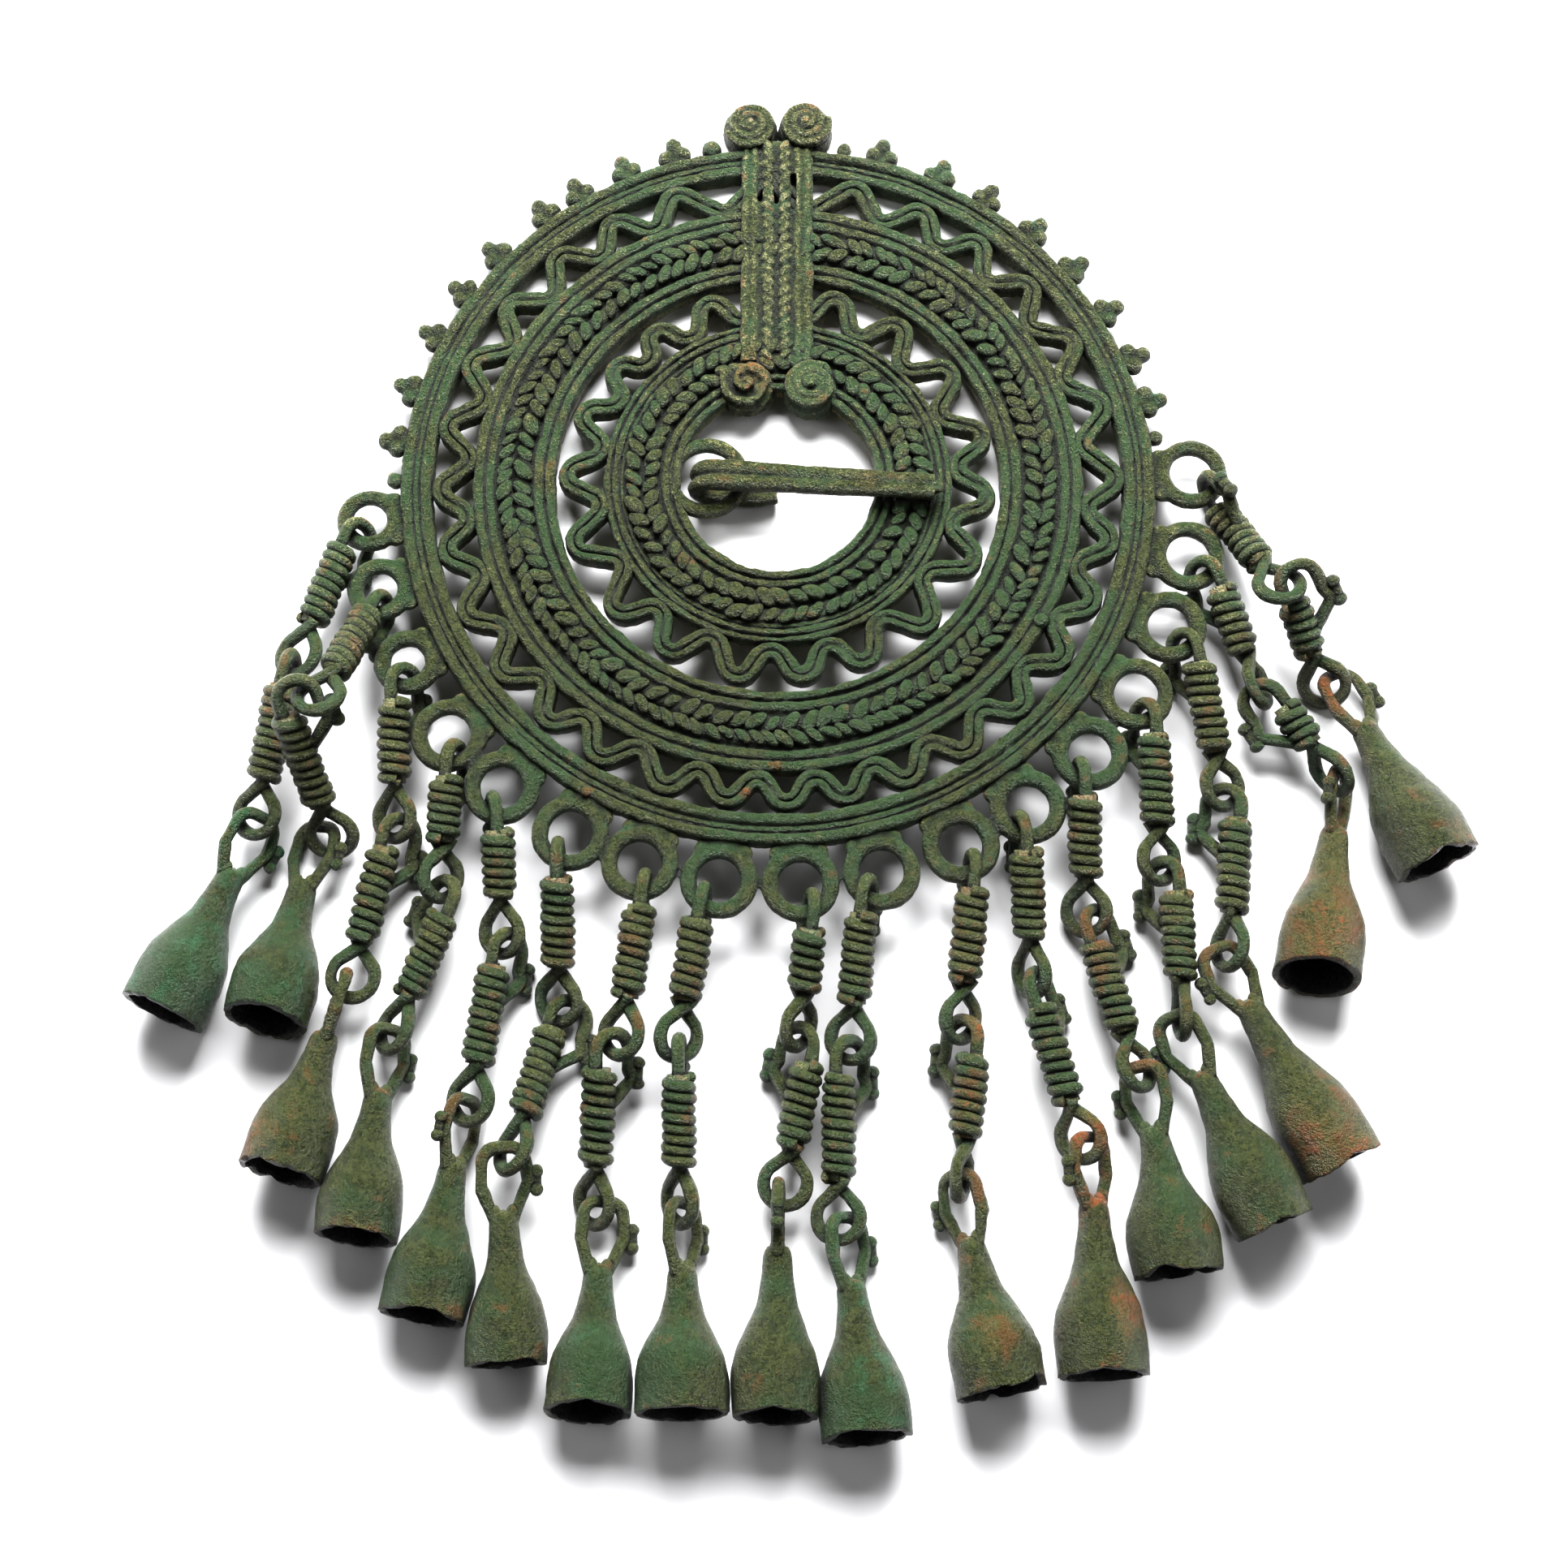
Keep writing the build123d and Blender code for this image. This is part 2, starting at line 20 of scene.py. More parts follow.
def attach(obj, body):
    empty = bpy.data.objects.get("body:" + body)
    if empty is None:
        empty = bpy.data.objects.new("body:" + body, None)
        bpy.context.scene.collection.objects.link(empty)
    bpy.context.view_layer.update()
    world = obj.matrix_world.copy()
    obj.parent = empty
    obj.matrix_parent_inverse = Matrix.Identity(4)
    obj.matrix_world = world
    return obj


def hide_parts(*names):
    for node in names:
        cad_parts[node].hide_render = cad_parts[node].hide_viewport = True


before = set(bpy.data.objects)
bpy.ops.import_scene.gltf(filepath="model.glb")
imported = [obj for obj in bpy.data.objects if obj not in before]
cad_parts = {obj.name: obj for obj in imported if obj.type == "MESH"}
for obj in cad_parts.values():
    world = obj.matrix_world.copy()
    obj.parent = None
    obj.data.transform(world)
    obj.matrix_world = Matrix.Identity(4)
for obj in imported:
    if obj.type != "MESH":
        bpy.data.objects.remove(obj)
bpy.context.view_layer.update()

# %% [markdown]
# ## Working in millimetres
# A jewel is easiest to measure in millimetres, while Blender and the frame count in metres. Each piece is
# therefore modelled in its own small frame in millimetres, and one matrix takes it to its place in metres.
# The object itself stays at the origin, unturned, so that patterns on object coordinates stay put.

# %% Frames of the pieces
MM = Matrix.Scale(0.001, 4)
PLATE_TILT = 2.6
PLATE_LIFT = 60.0 * sin(radians(PLATE_TILT))
PLATE = MM @ Matrix.Translation((0, 0, PLATE_LIFT)) @ Matrix.Rotation(radians(-PLATE_TILT), 4, "X")


def polar(radius, angle, height=0.0):
    return Vector((radius * cos(radians(angle)), radius * sin(radians(angle)), height))


def frame_of(origin, x_dir, z_dir):
    """The matrix that takes a piece's own frame to a place given in millimetres."""
    z = z_dir.normalized()
    x = (x_dir - z * x_dir.dot(z)).normalized()
    return MM @ Matrix.Translation(origin) @ Matrix((x, z.cross(x), z)).transposed().to_4x4()


# %% [markdown]
# ## Round wires
# Links, loops, eyes and the pin are all bent wire that was then cast. A wire is a circle that is extruded
# from point to point along its path, turned each time to face the way the path runs. A closed path has its
# last circle bridged to the first one, and an open one gets a cap at either end.

# %% Sweeping a section along a path
def rounded(corners, radii, steps=5):
    """Points along a run of straight lines whose inner corners are rounded off."""
    points = [Vector(corners[0])]
    for before, corner, after, radius in zip(corners, corners[1:], corners[2:], radii):
        corner = Vector(corner)
        back = (Vector(before) - corner).normalized()
        on = (Vector(after) - corner).normalized()
        half = back.angle(on) / 2
        reach = radius / np.tan(half)
        middle = corner + (back + on).normalized() * (radius / sin(half))
        start = corner + back * reach - middle
        end = corner + on * reach - middle
        for step in range(steps + 1):
            points.append(middle + start.slerp(end, step / steps) * radius)
    points.append(Vector(corners[-1]))
    return points


def sweep(bm, path, radius, sides=10, closed=False, section=None):
    """Extrude a circle, or the given section, from point to point along the path."""
    path = [Vector(point) for point in path]
    count = len(path)
    size = radius if callable(radius) else lambda share: radius
    ways = []
    for index in range(count):
        before = path[index - 1] if closed or index else path[0]
        after = path[(index + 1) % count] if closed or index < count - 1 else path[-1]
        ways.append((after - before).normalized())
    made = bmesh.ops.create_circle(bm, segments=sides, radius=1.0)
    ring = made["verts"]
    if section:
        for vert, (u, v) in zip(ring, section):
            vert.co = (u, v, 0)
    edges = list({edge for vert in ring for edge in vert.link_edges})
    side = ways[0].cross(Vector((0, 0, 1)))
    if side.length < 1e-3:
        side = ways[0].cross(Vector((0, 1, 0)))
    side.normalize()
    first, was = edges, Matrix.Identity(4)
    for index, (point, way) in enumerate(zip(path, ways)):
        if index:
            side = ways[index - 1].rotation_difference(way) @ side
            made = bmesh.ops.extrude_edge_only(bm, edges=edges)["geom"]
            ring = [item for item in made if isinstance(item, bmesh.types.BMVert)]
            edges = [item for item in made if isinstance(item, bmesh.types.BMEdge)]
        turn = Matrix((side, way.cross(side), way)).transposed().to_4x4()
        now = Matrix.Translation(point) @ turn @ Matrix.Scale(size(index / max(1, count - 1)), 4)
        bmesh.ops.transform(bm, matrix=now @ was.inverted(), verts=ring)
        was = now
    if closed:
        bmesh.ops.bridge_loops(bm, edges=first + edges)
    else:
        bmesh.ops.holes_fill(bm, edges=first, sides=0)
        bmesh.ops.holes_fill(bm, edges=edges, sides=0)


def finer(path, length):
    """The same path with extra points so that no step of it is much longer than the given length."""
    points = [Vector(path[0])]
    for one, two in zip(path, path[1:]):
        steps = max(1, round((Vector(two) - Vector(one)).length / length))
        points += [Vector(one).lerp(Vector(two), step / steps) for step in range(1, steps + 1)]
    return points


def ball(bm, centre, radius, detail=2, stretch=(1, 1, 1), turn=None):
    matrix = Matrix.Translation(centre) @ (turn or Matrix.Identity(4)) @ Matrix.Diagonal((*stretch, 1))
    bmesh.ops.create_icosphere(bm, subdivisions=detail, radius=radius, matrix=matrix)


# %% [markdown]
# ## From clay to casting
# On the real brooch the wax wires were pressed together and cast as one, so no seam shows where they meet.
# Where shapes run into one another a voxel remesh does the same: it wraps one skin around all of them.
# Corrosion then ate at the skin, so every vertex is moved a little along its normal by noise. Last, each
# vertex is compared with a smoothed copy of the surface. What stands proud of it was rubbed and also gets a
# light painted highlight, what lies below it is painted darker, partly as dirt and partly as painted shade,
# and the material reads that number, 1 for the proudest parts, as the attribute "relief".

# %% Welding, pitting and measuring relief
def voxel_weld(mesh, voxel, smooth=0):
    """One closed skin around all that overlaps in the mesh."""
    temporary = bpy.data.objects.new("weld", mesh)
    bpy.context.scene.collection.objects.link(temporary)
    remesh = temporary.modifiers.new("weld", "REMESH")
    remesh.mode = "VOXEL"
    remesh.voxel_size = voxel
    if smooth:
        soften = temporary.modifiers.new("soften", "SMOOTH")
        soften.factor = 0.5
        soften.iterations = smooth
    graph = bpy.context.evaluated_depsgraph_get()
    welded = bpy.data.meshes.new_from_object(temporary.evaluated_get(graph))
    bpy.data.objects.remove(temporary)
    bpy.data.meshes.remove(mesh)
    return welded


def read(values, name, width):
    out = np.zeros(len(values) * width, np.float32)
    values.foreach_get(name, out)
    return out.reshape(-1, width) if width > 1 else out


def pit(mesh, fine, broad, seed):
    """Move the vertices along their normals by two sizes of noise, in millimetres."""
    shift = Vector((seed * 7.31, seed * 3.17, seed * 5.53))
    spots = read(mesh.vertices, "co", 3)
    normals = read(mesh.vertex_normals, "vector", 3)
    amount = np.empty(len(spots), np.float32)
    for index, spot in enumerate(spots.tolist()):
        spot = Vector(spot)
        grain = noise.noise(spot * 1300 + shift)
        lump = noise.noise(spot * 620 + shift)
        wave = noise.noise(spot * 240 + shift)
        amount[index] = fine * (grain + lump) + broad * wave
    spots += normals * amount[:, None] * 0.001
    spots[:, 2] = np.maximum(spots[:, 2], 0)
    mesh.vertices.foreach_set("co", spots.ravel())


def relief_of(mesh, rounds):
    """How proud each vertex stands of a smoothed copy of the surface: 1 for the proudest parts."""
    edges = read(mesh.edges, "vertices", 2).astype(np.int64)
    spots = read(mesh.vertices, "co", 3).astype(np.float64)
    count = len(spots)
    ends = np.concatenate([edges[:, 0], edges[:, 1]])
    others = np.concatenate([edges[:, 1], edges[:, 0]])
    share = np.maximum(np.bincount(ends, minlength=count), 1)
    smooth = spots.copy()
    for _ in range(rounds):
        sums = [np.bincount(ends, smooth[others, axis], count) for axis in range(3)]
        smooth = (smooth + np.stack(sums, 1) / share[:, None]) / 2
    normals = read(mesh.vertex_normals, "vector", 3)
    proud = ((spots - smooth) * normals).sum(1)
    proud -= np.median(proud)
    return np.clip(proud / np.quantile(np.abs(proud), 0.95), -1.5, 1.5)


# Places where the skin is ochre or copper red, in millimetres, and how strongly.
Spot = namedtuple("Spot", "x y radius amount")
SPOTS = [
    Spot(-3.0, 19.5, 4.0, 0.5),
    Spot(-4.5, 15.5, 4.0, 0.4),
    Spot(4.5, 61.0, 3.0, 0.6),
    Spot(-26.6, -47.1, 1.3, 0.9),
    Spot(-0.1, -43.4, 1.1, 0.8),
    Spot(-4.3, -47.2, 1.1, 0.8),
    Spot(-37.0, 22.0, 8.0, 0.25),
    Spot(-8.5, 1.9, 3.0, 0.5),
    Spot(12.6, -1.5, 2.5, 0.5),
    Spot(-1.3, -17.4, 6.0, 0.3),
    Spot(-10.8, -14.2, 5.0, 0.3),
    Spot(-33.9, 0.3, 2.5, 0.5),
    Spot(-55.2, -51.4, 2.5, 0.7),
    Spot(-69.5, -94.1, 3.0, 0.7),
    Spot(-55.5, -107.3, 3.5, 0.6),
    Spot(-44.4, -117.3, 3.0, 0.5),
    Spot(-31.8, -123.4, 2.5, 0.5),
    Spot(-4.6, -126.5, 2.5, 0.6),
    Spot(25.6, -69.5, 4.0, 0.5),
    Spot(27.1, -79.1, 3.0, 0.8),
    Spot(25.4, -89.4, 3.0, 0.7),
    Spot(28.2, -101.5, 3.0, 0.6),
    Spot(28.9, -120.0, 3.0, 0.5),
    Spot(43.8, -66.5, 4.0, 0.7),
    Spot(49.0, -84.6, 2.5, 0.8),
    Spot(41.7, -93.6, 3.5, 1.0),
    Spot(41.7, -102.0, 4.0, 0.6),
    Spot(45.8, -116.2, 3.0, 0.9),
    Spot(41.6, -125.3, 3.0, 0.6),
    Spot(58.0, -105.0, 3.0, 0.5),
    Spot(69.9, -95.1, 4.0, 0.7),
    Spot(77.1, -96.3, 3.5, 0.7),
    Spot(74.1, -67.8, 5.0, 0.5),
    Spot(78.1, -31.4, 4.0, 0.6),
    Spot(80.1, -41.5, 2.5, 0.7),
    Spot(94.1, -55.5, 3.0, 0.7),
]


def warmth(mesh, tone):
    """The tone of each vertex: below 0 it is green, above 0 ochre, and towards 1 copper red."""
    spots = read(mesh.vertices, "co", 3)[:, :2] * 1000
    tones = np.full(len(spots), tone, np.float32)
    for spot in SPOTS:
        away = np.hypot(spots[:, 0] - spot.x, spots[:, 1] - spot.y)
        tones += spot.amount * np.clip(1.4 - away / spot.radius, 0, 1).astype(np.float32)
    return tones


Finish = namedtuple("Finish", "voxel soften fine broad rounds", defaults=(0, 0.05, 0.1, 12))
pieces = []


def cast(bm, name, place, finish, body="brooch", nodes=(), warm=0.0, seed=None):
    """Turn the modelled shape into a finished piece of the brooch."""
    bmesh.ops.transform(bm, matrix=place, verts=bm.verts)
    bmesh.ops.recalc_face_normals(bm, faces=bm.faces)
    mesh = bpy.data.meshes.new(name)
    bm.to_mesh(mesh)
    bm.free()
    if finish.voxel:
        mesh = voxel_weld(mesh, finish.voxel * 0.001, finish.soften)
        mesh.name = name
    pit(mesh, finish.fine, finish.broad, len(pieces) if seed is None else seed)
    relief = relief_of(mesh, finish.rounds)
    mesh.attributes.new("relief", "FLOAT", "POINT").data.foreach_set("value", relief.astype(np.float32))
    mesh.attributes.new("warm", "FLOAT", "POINT").data.foreach_set("value", warmth(mesh, warm))
    mesh.shade_smooth()
    piece = bpy.data.objects.new(name, mesh)
    bpy.context.scene.collection.objects.link(piece)
    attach(piece, body)
    if nodes:
        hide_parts(*nodes)
    pieces.append(piece)
    return piece


# %% [markdown]
# ## The ring bands
# Three flat rings carry raised wires. A ring is the same all the way round, so its section is drawn once
# and spun. Two cords lie side by side on the inner and the middle ring; each twist of a cord is one
# slanted grain, and the grains of two neighbours slant opposite ways, like an ear of wheat.

# %% Sections of the bands
DECK = 2.0
Crest = namedtuple("Crest", "radius half rise")
Band = namedtuple("Band", "name inner outer steps crests")
BANDS = [
    Band("outer_band", 50.2, 54.8, 600, [
        Crest(53.9, 0.88, 0.75), Crest(52.5, 0.5, 0.3), Crest(51.1, 0.88, 0.7),
    ]),
    Band("middle_band", 32.4, 44.4, 440, [
        Crest(43.45, 0.85, 0.65), Crest(41.75, 0.8, 0.6), Crest(39.4, 1.05, 0.6), Crest(37.1, 1.05, 0.6),
        Crest(34.75, 0.8, 0.6), Crest(33.15, 0.7, 0.6),
    ]),
    Band("inner_band", 14.2, 25.3, 300, [
        Crest(24.75, 0.5, 0.5), Crest(23.6, 0.55, 0.5), Crest(22.6, 0.35, 0.2), Crest(21.1, 1.05, 0.6),
        Crest(18.5, 1.05, 0.6), Crest(16.35, 0.65, 0.6), Crest(14.9, 0.65, 0.6),
    ]),
]


def band_section(band):
    points = [(band.inner, 0.0), (band.outer, 0.0)]
    points += [(band.outer, DECK * share) for share in (0.35, 0.7)]
    for crest in band.crests:
        for step in range(7):
            turn = pi * step / 6
            height = DECK - 0.15 + (crest.rise + 0.15) * sin(turn)
            points.append((crest.radius + crest.half * cos(turn), height))
    points += [(band.inner, DECK * share) for share in (0.7, 0.35)]
    kept = [points[0]]
    for point in points[1:]:
        if (Vector(point) - Vector(kept[-1])).length > 0.08:
            kept.append(point)
    return kept


def spun(bm, section, steps):
    """Spin a closed section, given as radius and height, once around Z."""
    verts = [bm.verts.new((radius, 0, height)) for radius, height in section]
    edges = [bm.edges.new((one, two)) for one, two in zip(verts, verts[1:] + verts[:1])]
    bmesh.ops.spin(
        bm, geom=verts + edges, axis=(0, 0, 1), cent=(0, 0, 0), angle=tau, steps=steps, use_merge=True
    )


# Where a cord's grains start, how long each is and which way it slants.
Cord = namedtuple("Cord", "radius pitch length width slant")
CORDS = {
    "middle_band": [Cord(39.4, 2.1, 3.3, 1.7, -33), Cord(37.1, 2.45, 3.4, 1.95, 43)],
    "inner_band": [Cord(21.1, 2.3, 3.3, 1.95, 38), Cord(18.5, 2.2, 3.1, 1.95, -36)],
}


def grain(bm, spot, way, length, width, height, detail=2):
    turn = Matrix.Rotation(radians(way), 4, "Z")
    ball(bm, spot, 0.5, detail, (length, width, height), turn)


rng = Random(11)
for band in BANDS:
    bm = bmesh.new()
    spun(bm, band_section(band), band.steps)
    for cord in CORDS.get(band.name, []):
        count = round(tau * cord.radius / cord.pitch)
        for index in range(count):
            angle = 360 * (index + rng.uniform(-0.15, 0.15)) / count
            size = rng.uniform(0.85, 1.15)
            spot = polar(cord.radius + rng.uniform(-0.2, 0.2), angle, DECK + 0.4 + rng.uniform(-0.15, 0.1))
            way = angle + 90 + cord.slant + rng.uniform(-11, 11)
            grain(bm, spot, way, cord.length * size, cord.width * size, 1.65 * size, 3)
    cast(bm, band.name, PLATE, Finish(0, fine=0.15, broad=0.25, rounds=6), nodes=["plate"])
    print(band.name, len(pieces[-1].data.polygons), "faces")

# %% [markdown]
# ## The pierced zigzags
# Between the bands a double wire wanders from edge to edge. Its centre line is a wave whose corners are
# rounded, and a section with two round backs and a groove between them is swept along it.

# %% The two waves
BEND = 1.9
Zone = namedtuple("Zone", "name outer inner half peaks")
ZONES = [
    Zone("outer_zigzag", 50.3, 44.1, 1.4, [
        0, 14, 27, 40, 52, 63.5, 76, 92, 108.5, 120.5, 132, 145, 157.5, 170, 182, 193, 205, 217, 228.5,
        239, 251, 261.5, 271.5, 281.5, 292, 303, 314.5, 326, 337, 348.5,
    ]),
    Zone("inner_zigzag", 33.3, 24.6, 1.3, [
        -5, 13, 34, 54, 73, 92, 110, 128, 143, 160, 178.5, 199, 221, 239, 259, 277, 294, 314, 336,
    ]),
]


def wave(zone):
    corners = []
    for here, there in zip(zone.peaks, zone.peaks[1:] + [zone.peaks[0] + 360]):
        corners += [polar(zone.outer, here, 1.35), polar(zone.inner, (here + there) / 2, 1.35)]
    return corners


def double_wire(half):
    """Two round backs side by side on a flat foot, as (across, up) points."""
    points = [(-half, -1.3), (-half, 0.2)]
    for side in (-1, 1):
        for turn in (165, 135, 105, 75, 45, 15):
            back = half * 0.52 * cos(radians(turn))
            points.append((side * half / 2 + back, 0.35 + 0.95 * sin(radians(turn))))
        if side < 0:
            points.append((0, 0.6))
    points += [(half, 0.2), (half, -1.3)]
    return points


for zone in ZONES:
    corners = wave(zone)
    corners = [corners[-1]] + corners + corners[:2]
    line = rounded(corners, [BEND] * (len(corners) - 2), 7)[9:-1]
    bm = bmesh.new()
    section = [(u, -v) for u, v in double_wire(zone.half)]
    sweep(bm, finer(line, 0.6), 1.0, len(section), closed=True, section=section)
    cast(bm, zone.name, PLATE, Finish(0, fine=0.12, broad=0.25, rounds=6), nodes=["plate"])
    print(zone.name, len(pieces[-1].data.polygons), "faces")

# %% [markdown]
# ## The strip, the bosses and the nubs
# A strip of wires and cords crosses the upper half. Each end of it carries two snail coils, and the upper
# edge is set with nubs of three balls. All of them are balls, grains and wires pushed into one another and
# welded by a fine voxel skin.

# %% The strip with its slots
STRIP_Y = (18.6, 56.0)
STRIP_WIRES = [-4.9, -3.6, 3.0, 4.4]
STRIP_CORDS = [(-1.5, 35), (1.0, -35)]
STRIP_SLOTS = [(-2.75, 46.4, 2.0), (-0.25, 46.6, 3.2), (2.35, 47.2, 6.0)]


def block(bm, low, high):
    low, high = Vector(low), Vector(high)
    matrix = Matrix.Translation((low + high) / 2) @ Matrix.Diagonal((*(high - low), 1))
    return bmesh.ops.create_cube(bm, size=1.0, matrix=matrix)["verts"]


def mesh_of(bm):
    mesh = bpy.data.meshes.new("part")
    bm.to_mesh(mesh)
    bm.free()
    return mesh


bm = bmesh.new()
block(bm, (-5.6, STRIP_Y[0], 0.05), (5.3, STRIP_Y[1], 2.5))
for x in STRIP_WIRES:
    steps = np.arange(STRIP_Y[0], 55.6, 1.2)
    line = [(x + 0.12 * sin(y * 0.7 + x), y, 2.55 + 0.05 * sin(y * 1.3)) for y in steps]
    sweep(bm, line, 0.55, 8)
for x, slant in STRIP_CORDS:
    for y in np.arange(STRIP_Y[0] + 1, 55.5, 1.75):
        spot = Vector((x + rng.uniform(-0.1, 0.1), y + rng.uniform(-0.15, 0.15), 2.8))
        grain(bm, spot, 90 + slant + rng.uniform(-7, 7), 2.6, 1.4, 1.6, 2)
cutter = bmesh.new()
for x, y, length in STRIP_SLOTS:
    block(cutter, (x - 0.42, y - length / 2, -1), (x + 0.42, y + length / 2, 5))
cutter_object = bpy.data.objects.new("cutter", mesh_of(cutter))
bpy.context.scene.collection.objects.link(cutter_object)
blank = bpy.data.objects.new("blank", voxel_weld(mesh_of(bm), 0.26))
bpy.context.scene.collection.objects.link(blank)
cut = blank.modifiers.new("slots", "BOOLEAN")
cut.operation = "DIFFERENCE"
cut.solver = "EXACT"
cut.object = cutter_object
bm = bmesh.new()
bm.from_object(blank, bpy.context.evaluated_depsgraph_get())
bpy.data.objects.remove(blank)
bpy.data.objects.remove(cutter_object)
cast(bm, "strip", PLATE, Finish(0.21, 0, 0.08, 0.16), nodes=["plate"])
print("strip", len(pieces[-1].data.polygons), "faces")

# %% The four snail coils
Boss = namedtuple("Boss", "name x y turn turns hand rough")
BOSSES = [
    Boss("boss_top_left", -4.25, 58.3, 200, 2.4, 1, 1.6),
    Boss("boss_top_right", 4.15, 58.5, 20, 2.4, -1, 1.2),
    Boss("boss_hole_left", -4.5, 15.0, 150, 1.6, 1, 3.0),
    Boss("boss_hole_right", 4.9, 14.5, 60, 2.4, 1, 1.0),
]
for boss in BOSSES:
    bm = bmesh.new()
    bmesh.ops.create_cone(
        bm, cap_ends=True, segments=28, radius1=4.25, radius2=4.0, depth=1.9,
        matrix=Matrix.Translation((boss.x, boss.y, 1.1)),
    )
    ball(bm, (boss.x, boss.y, 1.9), 1.0, 3, (3.9, 3.9, 1.6))
    steps = 72
    line = []
    for step in range(steps + 1):
        share = step / steps
        angle = boss.turn + boss.hand * 360 * boss.turns * share
        radius = 3.6 * (1 - share) ** 0.85 + 0.4 * share
        spot = polar(radius, angle, 1.9 + 1.75 * (1 - (radius / 4.3) ** 2) ** 0.5)
        line.append(spot + Vector((boss.x, boss.y, 0)))
    sweep(bm, line, lambda share: 0.72 - 0.1 * share, 9)
    ball(bm, (boss.x, boss.y, 3.8), 0.72, 2)
    finish = Finish(0.2, 0, 0.06 * boss.rough, 0.14 * boss.rough)
    cast(bm, boss.name, PLATE, finish, nodes=["plate"], warm=0.15)
    print(boss.name, len(pieces[-1].data.polygons), "faces")

# %% The nubs around the upper edge and the stray drops
TREBLE_NUBS = [13, 20.5, 29, 38, 46.5, 55.5, 64, 73.5, 106.5, 114.5, 122.5, 129, 139, 147, 155.5, 165, 173.5]
SINGLE_NUBS = [(7, 1.2), (79.5, 1.15), (100.5, 1.6), (180, 1.2)]
DROPS = [
    (37.5, -22.0, 1.3), (16.5, 8.5, 1.1), (-26.6, -47.1, 0.95), (-0.1, -43.4, 0.8), (-4.3, -47.2, 0.7),
    (-26.2, -2.1, 0.7),
]
bm = bmesh.new()
for angle in TREBLE_NUBS:
    ball(bm, polar(54.6, angle, 1.35), 1.4, 2, (1.1, 1.3, 0.85), Matrix.Rotation(radians(angle), 4, "Z"))
    for side in (-1, 1):
        spread = degrees(1.25 / 55.7) * side
        ball(bm, polar(55.8, angle + spread, 1.5 + rng.uniform(-0.1, 0.2)), rng.uniform(1.2, 1.42), 2)
    tip = polar(57.6, angle + rng.uniform(-0.4, 0.4), 1.55 + rng.uniform(-0.1, 0.25))
    ball(bm, tip, rng.uniform(1.18, 1.4), 2)
for angle, radius in SINGLE_NUBS:
    ball(bm, polar(55.7, angle, 1.5), radius, 2)
    ball(bm, polar(54.6, angle, 1.3), 1.0, 2)
for x, y, radius in DROPS:
    ball(bm, (x, y, 2.2), radius, 2)
cast(bm, "nubs", PLATE, Finish(0.28, 1, 0.1, 0.2), nodes=["plate"])
print("nubs", len(pieces[-1].data.polygons), "faces")

# %% [markdown]
# ## The rim loops and the hinge ring
# Seventeen loops of round wire were set around the lower edge in the wax. A loop is a swept circle with a
# small web of metal where it meets the band. The ring that the pin turns on is made the same way.

# %% Loops and ring
RimLoop = namedtuple("RimLoop", "angle reach radius")
RIM_LOOPS = [RimLoop(angle, 59.4, 3.6) for angle in (186.0, 196.5, 208.0)]
RIM_LOOPS += [
    RimLoop(angle, 60.2, 4.2)
    for angle in (
        220.0, 230.3, 241.5, 251.6, 262.3, 273.0, 283.8, 294.9, 305.3, 316.6, 327.2, 338.0, 348.8, 361.0,
    )
]


def circle(centre, radius, steps=40):
    return [Vector(centre) + polar(radius, 360 * step / steps) for step in range(steps)]


bm = bmesh.new()
for loop in RIM_LOOPS:
    centre = polar(loop.reach, loop.angle, 1.35)
    wire = rng.uniform(1.18, 1.27)
    sweep(bm, circle(centre, loop.radius, 48), wire, 11, closed=True)
    turn = Matrix.Rotation(radians(loop.angle), 4, "Z")
    ball(bm, polar(55.2, loop.angle, 1.2), 1.0, 3, (1.5, 3.4, 1.05), turn)
    for side in (-1, 1):
        corner = polar(55.9, loop.angle + side * degrees(2.7 / 55.9), 1.2)
        ball(bm, corner, 1.0, 2, (1.5, 1.5, 1.0), turn)
cast(bm, "rim_loops", PLATE, Finish(0.33, 1, 0.06, 0.12), nodes=["plate"])
print("rim loops", len(pieces[-1].data.polygons), "faces")

RING_CENTRE = (-10.4, 0.5, 1.3)
bm = bmesh.new()
sweep(bm, circle(RING_CENTRE, 5.2), 1.1, 12, closed=True)
ball(bm, (-14.9, 3.0, 1.1), 1.0, 2, (1.2, 1.3, 1.0))
ball(bm, (-14.9, -2.0, 1.1), 1.0, 2, (1.2, 1.3, 1.0))
cast(bm, "hinge_ring", PLATE, Finish(0.26, 1, 0.05, 0.1), nodes=["plate"])
print("hinge ring", len(pieces[-1].data.polygons), "faces")

# %% [markdown]
# ## The pin
# The pin was folded from a rod with a groove along its back: its tail lies under the hinge ring, comes up
# through it and runs over the hole to the far side of the inner band. Two swept strands side by side, welded
# together, give the groove.

# %% The pin
PIN_AXIS = Vector((-5.4, -0.5, 1.3))
pin_along = polar(1, -3.6)
pin_across = pin_along.cross(Vector((0, 0, 1)))


def pin_point(along, up, across):
    return PIN_AXIS + pin_along * along + pin_across * across + Vector((0, 0, up))


